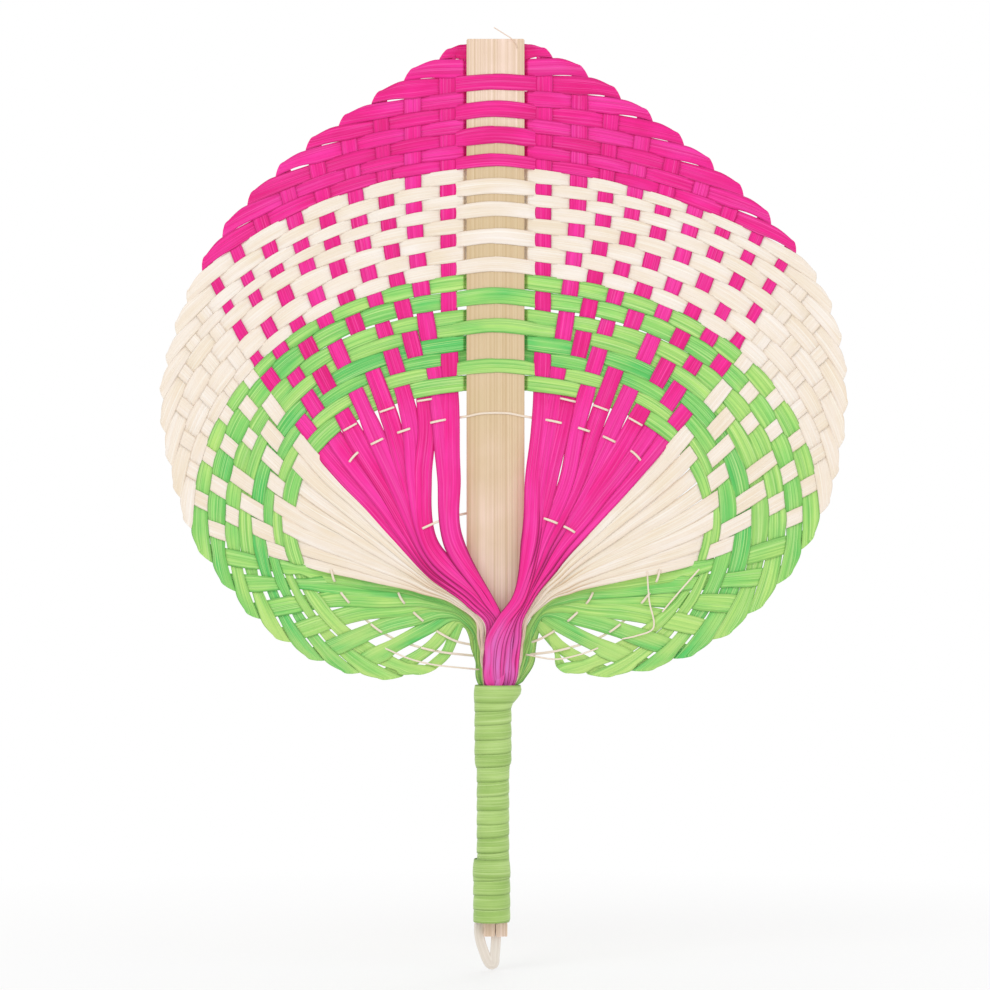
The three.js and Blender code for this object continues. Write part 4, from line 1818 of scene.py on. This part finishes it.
@dataclass
class SpineSlat:
    """The shaved bamboo slat with shoulders, a tang with a split end, and a fibre sprung from its top."""

    width: float = SLAT_WIDTH
    thickness: float = SLAT_THICKNESS
    shoulder_top: float = 88.0
    shoulder_bottom: float = 74.0
    tang_width: float = 9.5
    corner: float = 0.5
    split_width: float = 0.5
    split_length: float = 7.0
    eased_edge: float = 0.35
    eased_steps: int = 3
    eased_profile: float = 0.6
    sharp_angle: float = math.radians(40)
    lot: float = 40.0

    # Heights along the slat and its tone there: paler towards the top, and paler towards the bottom as
    # painted light that offsets the shade under the gathered ribs
    tones_and_painted_light: tuple[Point, ...] = (
        (97.0, 0.92), (112.0, 0.74), (128.0, 0.65), (144.0, 0.45), (165.0, 0.34), (205.0, 0.2), (240.0, 0.3),
        (258.0, 0.42), (271.0, 0.8), (284.0, 0.92), (298.0, 1.0),
    )

    # Loose fibre
    fibre: tuple[Knot, ...] = (
        (8.6, -1.25, 299.6), (8.2, -1.4, 301.4), (6.6, -1.6, 303.4), (3.2, -1.9, 305.6), (-0.6, -1.6, 308.0),
    )
    fibre_width: float = 0.4
    fibre_thickness: float = 0.25
    fibre_tone: float = 0.95
    fibre_lot: float = 42.0

    def outline(self) -> list[Point]:
        """Lay out the slat's whole outline, from the split round to the split.

        Returns:
            Points as X and Z.
        """
        low, high = (corner[2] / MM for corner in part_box("spine_slat"))
        half, tang = self.width / 2, self.tang_width / 2
        right = [
            (self.split_width / 2, low),
            (tang, low),
            (tang, self.shoulder_bottom),
            (half, self.shoulder_top),
            (half, high - self.corner),
            (half - self.corner, high),
        ]
        left = [(-x, z) for x, z in reversed(right)]
        return [(0.0, low + self.split_length), *right, *left]

    def cut(self) -> bpy.types.Mesh:
        """Cut the slat, ease its edges and divide it at the heights of its listed tones.

        Returns:
            The slat's mesh.
        """
        shape = bmesh.new()
        front = -self.thickness / 2
        face = shape.faces.new([shape.verts.new((x * MM, front * MM, z * MM)) for x, z in self.outline()])
        grown = bmesh.ops.extrude_face_region(shape, geom=[face])
        moved = [part for part in grown["geom"] if isinstance(part, bmesh.types.BMVert)]
        bmesh.ops.translate(shape, verts=moved, vec=(0.0, self.thickness * MM, 0.0))
        bmesh.ops.recalc_face_normals(shape, faces=shape.faces[:])
        bmesh.ops.bevel(
            shape, geom=shape.edges[:], affect="EDGES", offset=self.eased_edge * MM,
            segments=self.eased_steps, profile=self.eased_profile,
        )
        for height, _ in self.tones_and_painted_light:
            level = (0.0, 0.0, height * MM)
            whole = [*shape.verts, *shape.edges, *shape.faces]
            bmesh.ops.bisect_plane(shape, geom=whole, plane_co=level, plane_no=(0.0, 0.0, 1.0))
        mesh = bpy.data.meshes.new("spine_slat_bamboo")
        shape.to_mesh(mesh)
        shape.free()
        return mesh

    def build(self) -> None:
        """Make the slat and its loose fibre and set them in place."""
        mesh = self.cut()
        places = np.array([v.co for v in mesh.vertices]) / MM
        mark(mesh, {
            "along": places[:, 2],
            "across": places[:, 0] / (self.width / 2),
            "tone": np.interp(places[:, 2], *np.array(self.tones_and_painted_light).T),
            "lot": np.full(len(places), self.lot),
        })
        mesh.shade_smooth()
        mesh.set_sharp_from_angle(angle=self.sharp_angle)
        mount(bring_in("spine_slat_bamboo", mesh), "spine_slat", SLAT)
        path = loose_path(self.fibre)
        fibre = flat_strand(path, self.fibre_width, self.fibre_thickness, self.fibre_tone, self.fibre_lot)
        mount(loft_piece("spine_slat_loose_fibre", fibre), None, SLAT)


# Twining threads


@dataclass
class TwiningThread:
    """A split cane thread that passes before and behind the ribs by turns.

    Attributes:
        blade: The blade that the thread is twined through.
        name: Which thread it is.
        slat_face: Face of the slat that it passes.
        points: Its course from the slat, as shares of the blade's half width and height.
        dashes: How far from the slat's centre line its passes in front lie.
        fronts: Ribs of the lobes that it passes in front of.
        loose: Points of its loose ends.
        ticks: Ribs that the edge strand passes in front of.
    """

    blade: Blade
    name: str
    slat_face: Face
    points: tuple[Point, ...]
    dashes: dict[Side, tuple[float, ...]]
    fronts: tuple[int, ...]
    loose: tuple[tuple[Knot, ...], ...] = ()
    ticks: tuple[int, ...] = ()
    width: float = 0.95
    thickness: float = 0.5
    tone: float = 0.5
    lot: float = 41.0
    steps: int = 240
    run_step: float = 0.6
    half_dash: float = 2.4
    half_pass: float = 0.8
    rib_reach: float = 4.5
    stand_off: float = 1.05
    tick_drop: float = 4.6
    tick_reach: float = 3.4
    tick_steps: int = 13
    tick_flat: float = 0.75
    tick_tuck: float = 1.6
    tick_scale: float = 0.9
    loose_scale: float = 0.7
    end_gap: float = 1.0

    def passes(self, half: HalfBlade, course: Course) -> list[tuple[float, float]]:
        """Set the depths of the thread as it passes the ribs.

        Args:
            half: Half of the blade.
            course: The thread's path.

        Returns:
            Distances along the thread and depths there.
        """
        meets = {strip: rib.crossing(course) for strip, rib in enumerate(half.ribs)}
        ribs = {strip: meet[1] for strip, meet in meets.items() if meet}
        outgoing = slice(self.steps // 2)
        dashes = np.interp(self.dashes[half.side], course.points[outgoing, 0], course.marks[outgoing])
        fronts = sorted([*dashes, *(ribs[strip] for strip in self.fronts if strip in ribs)])
        behind = [
            mark for mark in ribs.values() if all(abs(mark - front) > self.half_dash for front in fronts)
        ]
        dive = self.half_dash + self.half_pass
        for middle, after in zip(fronts, fronts[1:]):
            behind += [middle + dive, after - dive] if after - middle > 2 * dive else []
        stops = [(mark, self.depth(half, course.place(mark), Face.BACK)) for mark in behind]
        for middle in fronts:
            depth = self.depth(half, course.place(middle), Face.FRONT)
            stops += [(middle - self.half_dash, depth), (middle + self.half_dash, depth)]
        return stops

    def depth(self, half: HalfBlade, place: np.ndarray, face: Face) -> float:
        """Depth of the thread as it passes before or behind the ribs near a point.

        Args:
            half: Half of the blade.
            place: Point in the half plane.
            face: Face of the ribs that it passes.

        Returns:
            Depth behind the blade's middle plane.
        """
        depths = [
            self.blade.rib_depth(half, strip, rib.nearest(place))
            for strip, rib in enumerate(half.ribs) if rib.distance(place[None])[0] < self.rib_reach
        ]
        return min(depths) - self.stand_off if face is Face.FRONT else max(depths) + self.stand_off

    def half_path(self, side: Side) -> np.ndarray:
        """Lay one half of the thread from the slat to the throat.

        Args:
            side: Half of the blade.

        Returns:
            Points in millimetres.
        """
        blade = self.blade
        course = Course.through([blade.point(p) for p in self.points], self.steps)
        depth = self.slat_face.value * (blade.slat_thickness / 2 + self.thickness / 2)
        stops = [(0.0, depth), (blade.slat_width / 2, depth)]
        stops += self.passes(blade.halves[side], course)
        stops.append((course.length, blade.tail_depth(blade.count - 1) + self.end_gap))
        stops.sort()
        run = np.arange(0.0, course.length, self.run_step)
        return in_space(course.place(run), np.interp(run, *np.array(stops).T), side.value)

    def tick(self, side: Side, rib: int) -> np.ndarray:
        """Lay the pass of the edge strand over a rib, just below the last row.

        Args:
            side: Half of the blade.
            rib: Number of the rib.

        Returns:
            Points in millimetres.
        """
        half = self.blade.halves[side]
        mark = half.meets[rib, self.blade.count - 1][0] + self.tick_drop
        place, way = half.ribs[rib].place(mark), half.ribs[rib].heading(mark)
        shares = np.linspace(-1, 1, self.tick_steps)
        plane = place + self.tick_reach * shares[:, None] * np.array((way[1], -way[0]))
        tuck = self.tick_tuck * ease((np.abs(shares) - self.tick_flat) / (1 - self.tick_flat))
        return in_space(plane, self.depth(half, place, Face.FRONT) + tuck, side.value)

    def strand(self, points: np.ndarray, scale: float = 1.0) -> Loft:
        """Make a strand of the thread.

        Args:
            points: Points in millimetres.
            scale: Size of the strand against the thread's own.

        Returns:
            The strand's skin.
        """
        return flat_strand(points, scale * self.width, scale * self.thickness, self.tone, self.lot)

    def build(self) -> None:
        """Make the thread with its loose ends and set it in place of its solid."""
        left, right = (self.half_path(side) for side in Side)
        strands = [self.strand(np.concatenate((left[:0:-1], right)))]
        ticks = [self.tick(side, rib) for side in Side for rib in self.ticks]
        strands += [self.strand(tick, self.tick_scale) for tick in ticks]
        strands += [self.strand(loose_path(end), self.loose_scale) for end in self.loose]
        node = f"twining_thread_{self.name}"
        mount(loft_piece(f"{node}_cane", *strands), node, CANE)


# Courses of the two threads, their passes in front, and the loose ends
OUTER_COURSE: tuple[Point, ...] = (
    (0.0, 0.421), (0.04, 0.42), (0.082, 0.4155), (0.167, 0.4076), (0.254, 0.3944), (0.329, 0.3784),
    (0.406, 0.351), (0.466, 0.268), (0.461, 0.167), (0.41, 0.1235), (0.311, 0.0772), (0.186, 0.0538),
    (0.06, 0.044),
)
INNER_COURSE: tuple[Point, ...] = (
    (0.0, 0.272), (0.095, 0.264), (0.175, 0.25), (0.236, 0.23), (0.286, 0.175), (0.27, 0.135),
    (0.234, 0.1126), (0.18, 0.0877), (0.115, 0.0678), (0.056, 0.06),
)
OUTER_DASHES = {Side.LEFT: (23.2, 36.4, 47.1, 57.8), Side.RIGHT: (23.6, 34.8, 45.1, 55.8)}
INNER_DASHES = {Side.LEFT: (26.8,), Side.RIGHT: (22.1, 29.2)}
LOBE_FRONTS = (17, 19, 21, 23, 24)
EDGE_TICKS = (2, 4, 6)
LOOSE_ENDS: tuple[tuple[Knot, ...], ...] = (
    ((60.2, -1.5, 92.2), (61.0, -1.6, 80.7), (62.6, -1.6, 69.5), (56.0, -1.5, 66.5), (50.3, -0.8, 65.2)),
    ((80.9, -1.5, 93.0), (70.5, -1.6, 81.1), (66.2, -1.2, 75.9)),
    ((-46.0, 0.6, 62.4), (-40.0, -1.4, 59.8), (-34.8, -1.2, 57.6), (-25.6, -1.5, 55.2), (-6.4, 0.2, 53.0)),
    ((12.0, 0.0, 59.0), (24.0, -1.4, 57.2), (34.0, -1.2, 59.2), (42.0, 0.6, 62.0)),
)


# Handle


@dataclass
class Winding:
    """A splint wound up the handle, each turn lapping over the one below it.

    Attributes:
        node: Solid that the winding stands for.
        top: Height of its upper end.
        bottom: Height of its lower end.
        lift: How far it lies outside the bundle that it is wound on.
        tone: Shade of its dye.
        seed: Number that sets its small swerves.
    """

    node: str
    top: float
    bottom: float
    lift: float
    tone: float
    seed: int

    # Bundle that it is wound on
    axis: float = -1.0
    grip_half_width: float = 5.5
    half_depth: float = 5.9
    middle_depth: float = -1.4
    swell: float = 0.9
    swell_start: float = 12.0
    swell_length: float = 6.0
    collar_axis: float = 0.8
    collar_half_width: float = 8.5
    collar_top: float = GRIP_TOP
    collar_length: float = 9.0
    collar_flat: float = 2.0

    # Splint and its turns
    lanes: tuple[float, ...] = (-1.0, -0.92, -0.5, 0.0, 0.5, 0.92, 1.0)
    width: float = 7.0
    thickness: float = 0.25
    edge_thinning: float = 0.6
    edge_power: int = 8
    bow: float = 0.12
    pitch: float = 5.6
    lap: float = 0.5
    end_layer: float = 0.3
    front_level: float = 0.7
    steps: int = 48
    swerve: float = 0.2
    swerve_rates: tuple[float, ...] = (0.23, 0.61, 1.0)
    swerve_in: float = 0.5
    grain_run: float = 6.0
    first_lot: float = 50.0

    def flare(self, height: np.ndarray) -> np.ndarray:
        """Share of the collar's flare.

        Args:
            height: Heights along the handle.

        Returns:
            Shares from 0 on the grip to 1 at the collar's top.
        """
        risen = height - self.collar_top + self.collar_length
        return ease(risen / (self.collar_length - self.collar_flat))

    def lower_edge(self, turned: np.ndarray, turns: float) -> np.ndarray:
        """Let the splint climb, mostly behind, between a level turn at each end.

        Args:
            turned: Turns made so far.
            turns: Turns in all.

        Returns:
            Heights of the splint's lower edge.
        """
        chance = np.random.default_rng(self.seed)
        angle = 2 * math.pi * turned
        swerve = sum(
            self.swerve * np.sin(angle * rate + chance.uniform(0, 2 * math.pi)) for rate in self.swerve_rates
        )
        inside = ease((turned - 1) / self.swerve_in) * ease((turns - 1 - turned) / self.swerve_in)
        risen = turned - 1 - self.front_level * np.sin(angle) / (2 * math.pi)
        climb = self.top - self.bottom - self.width
        return self.bottom + np.clip(risen * self.pitch, 0.0, climb) + swerve * inside

    def build(self) -> None:
        """Wind the splint and set it in place of its solid."""
        lanes = np.array(self.lanes)
        turns = (self.top - self.bottom - self.width) / self.pitch + 2
        turned = np.arange(round(turns * self.steps) + 1) / self.steps
        angle = 2 * math.pi * turned
        height = self.lower_edge(turned, turns)[:, None] + (lanes[None] + 1) / 2 * self.width
        slope = (1 - lanes[None]) / 2 * self.lap
        bow = self.bow * (1 - lanes[None] ** 2)
        layer = self.end_layer * (ease(turned - turns + 1) - ease(1 - turned))[:, None]
        thinned = 1 - self.edge_thinning * np.abs(lanes[None]) ** self.edge_power
        flare = self.flare(height)
        swollen = self.grip_half_width + self.swell * ease((height - self.swell_start) / self.swell_length)
        half_width = blend(swollen, self.collar_half_width, flare)
        centre = blend(self.axis, self.collar_axis, flare)
        skins = []
        for skin in (self.thickness, 0.0):
            out = self.lift + slope + bow + layer + skin * thinned
            x = centre + (half_width + out) * np.sin(angle)[:, None]
            y = self.middle_depth - (self.half_depth + out) * np.cos(angle)[:, None]
            skins.append(np.stack((x, y, height), axis=-1))
        rings = np.concatenate((skins[0], skins[1][:, ::-1]), axis=1)
        across = np.concatenate((lanes, lanes[::-1]))
        loft = Loft(rings, angle * self.grain_run, across, self.tone, lot=self.first_lot + self.seed)
        mount(loft_piece(f"{self.node}_splint", loft), self.node, WRAP)


@dataclass
class HangingLoop:
    """A split cane bent into a loop behind the tang."""

    width: float = 3.9
    thickness: float = 1.0
    squareness: float = 0.6
    slat_thickness: float = SLAT_THICKNESS
    clearance: float = CLEARANCE
    path: tuple[Point, ...] = (
        (-2.8, -31.0), (-3.4, -40.0), (-6.4, -48.0), (-6.4, -53.0), (-4.9, -58.5), (-2.2, -64.2),
        (-0.8, -64.3), (-0.2, -60.0), (0.2, -54.0), (0.6, -46.0), (1.0, -31.0),
    )
    steps: int = 160
    sections: int = 120
    sides: int = 16
    tone: float = 0.6
    lot: float = 44.0

    def rounded(self, wave: np.ndarray) -> np.ndarray:
        """Square a wave off, which turns a round section into one with rounded corners."""
        return np.sign(wave) * np.abs(wave) ** self.squareness

    def build(self) -> None:
        """Bend the loop and set it in place of its solid."""
        course = Course.through(self.path, self.steps)
        marks = np.linspace(0, course.length, self.sections)
        depth = self.slat_thickness / 2 + self.clearance + self.thickness / 2
        centre = in_space(course.place(marks), depth)
        turn = np.linspace(0, 2 * math.pi, self.sides, endpoint=False)
        across = 0.5 * self.width * self.rounded(np.cos(turn))
        through = 0.5 * self.thickness * self.rounded(np.sin(turn))
        rings = flat_rings(centre, course.heading(marks), across, through)
        loft = Loft(rings, marks, np.cos(turn), self.tone, lot=self.lot)
        mount(loft_piece("hanging_loop_cane", loft), "hanging_loop", LOOP)


# Studio


@dataclass(frozen=True)
class Lamp:
    """A soft square lamp.

    Attributes:
        name: Name of the lamp.
        place: Where it hangs, in metres.
        size: Its side, in metres.
        power: Its power, in watts.
    """

    name: str
    place: Knot
    size: float
    power: float

    def hang(self, target: Vector) -> None:
        """Hang the lamp so that it faces a point.

        Args:
            target: The point, in metres.
        """
        data = bpy.data.lights.new(self.name, "AREA")
        data.size = self.size
        data.energy = self.power
        lamp = bring_in(self.name, data)
        lamp.location = self.place
        lamp.rotation_euler = (target - lamp.location).to_track_quat("-Z", "Y").to_euler()


@dataclass
class Studio:
    """Pale floor, soft lamps and the camera."""

    photo_pixels: float = 990.0
    millimetres_per_pixel: float = 0.3974
    centre_height: float = 122.4
    centre_across: float = -0.2
    distance: float = 1.6
    sensor: float = 36.0
    floor_radius: float = 4.0
    floor_sides: int = 96
    floor_drop: float = 0.0005
    floor_grey: float = 0.95
    floor_fade: Point = (0.1, 0.45)
    floor_glow: Point = (0.45, 1.0)
    world_strength: float = 0.8
    lamps: tuple[Lamp, ...] = (
        Lamp("key_lamp", (-0.8, -1.5, 1.4), 1.0, 8.0),
        Lamp("fill_lamp", (1.2, -1.5, 0.5), 1.2, 3.0),
        Lamp("back_lamp", (0.4, 1.5, 1.4), 1.2, 5.0),
    )

    def camera(self) -> None:
        """Set the camera square to the front of the blade."""
        data = bpy.data.cameras.new("front_camera")
        data.sensor_width = self.sensor
        data.lens = self.sensor * self.distance / (self.photo_pixels * self.millimetres_per_pixel * MM)
        camera = bring_in("front_camera", data)
        camera.location = (self.centre_across * MM, -self.distance, self.centre_height * MM)
        camera.rotation_euler = (math.pi / 2, 0.0, 0.0)
        bpy.context.scene.camera = camera

    def floor(self, height: float) -> None:
        """Lay the floor under the object.

        Args:
            height: Height of the lowest point of the object, in metres.
        """
        shape = bmesh.new()
        bmesh.ops.create_circle(shape, cap_ends=True, segments=self.floor_sides, radius=self.floor_radius)
        mesh = bpy.data.meshes.new("studio_floor")
        shape.to_mesh(mesh)
        shape.free()
        mesh.materials.append(self.floor_material())
        floor = bring_in("studio_floor", mesh)
        floor.location.z = height - self.floor_drop
        floor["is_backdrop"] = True

    @staticmethod
    def looked_at(graph: Graph) -> Socket:
        """Tell the rays that the camera looks along, straight or mirrored, from those that carry light.

        Args:
            graph: Graph of the material or world.

        Returns:
            One for a ray of the camera's, otherwise zero.
        """
        ray = graph.add("LightPath")
        return graph.math("MAXIMUM", ray.outputs["Is Camera Ray"], ray.outputs["Is Glossy Ray"])

    def floor_material(self) -> bpy.types.Material:
        """Make a pale floor that fades to white away from the object.

        Returns:
            The material.
        """
        material = bpy.data.materials.new("studio_floor")
        graph = Graph.of(material)
        place = graph.add("NewGeometry").outputs["Position"]
        far = graph.add("VectorMath", {"operation": "LENGTH"}, slot0=place).outputs["Value"]
        white = graph.add("Emission", Color=(1.0, 1.0, 1.0), Strength=1.0)
        matt = graph.add("BsdfDiffuse", Color=(self.floor_grey,) * 3)
        glow = graph.spread(far, *self.floor_fade, *self.floor_glow)
        share = graph.math("MULTIPLY", glow, self.looked_at(graph))
        both = graph.add("MixShader", slot0=share, slot1=matt.outputs[0], slot2=white.outputs[0])
        graph.add("OutputMaterial", Surface=both.outputs[0])
        return material

    def world(self) -> None:
        """Light the room evenly and show white to the camera."""
        world = bpy.data.worlds.new("studio_world")
        bpy.context.scene.world = world
        graph = Graph.of(world)
        strength = graph.spread(self.looked_at(graph), 0.0, 1.0, self.world_strength, 1.0)
        background = graph.add("Background", Color=(1.0, 1.0, 1.0), Strength=strength)
        graph.add("OutputWorld", Surface=background.outputs[0])

    def build(self, height: float) -> None:
        """Set up the whole studio.

        Args:
            height: Height of the lowest point of the object, in metres.
        """
        self.camera()
        self.floor(height)
        self.world()
        middle = Vector((self.centre_across * MM, 0.0, self.centre_height * MM))
        for lamp in self.lamps:
            lamp.hang(middle)
        bpy.context.scene.view_settings.view_transform = "Standard"


def corners(box: Sequence[Sequence[float]]) -> list[list[float]]:
    """Turn a box's corners into plain lists.

    Args:
        box: Lowest and highest corner.

    Returns:
        The corners as lists of numbers.
    """
    return [[float(value) for value in corner] for corner in box]


def main() -> None:
    """Build the fan's pieces in order and light them."""
    logging.basicConfig(level=logging.INFO, format="%(name)s: %(message)s")
    solid_box = corners(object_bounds())
    Studio().build(solid_box[0][2])
    SpineSlat().build()
    blade = Blade()
    blade.build()
    TwiningThread(
        blade, "outer", Face.FRONT, OUTER_COURSE, OUTER_DASHES, LOBE_FRONTS, LOOSE_ENDS, EDGE_TICKS,
    ).build()
    TwiningThread(blade, "inner", Face.BACK, INNER_COURSE, INNER_DASHES, LOBE_FRONTS[1:]).build()
    Winding("handle_wrap", top=GRIP_TOP, bottom=GRIP_BOTTOM, lift=0.3, tone=0.5, seed=7).build()
    Winding("end_binding", top=-22.0, bottom=GRIP_BOTTOM, lift=1.2, tone=0.42, seed=11, axis=-1.5).build()
    HangingLoop().build()


if __name__ == "__main__":
    main()
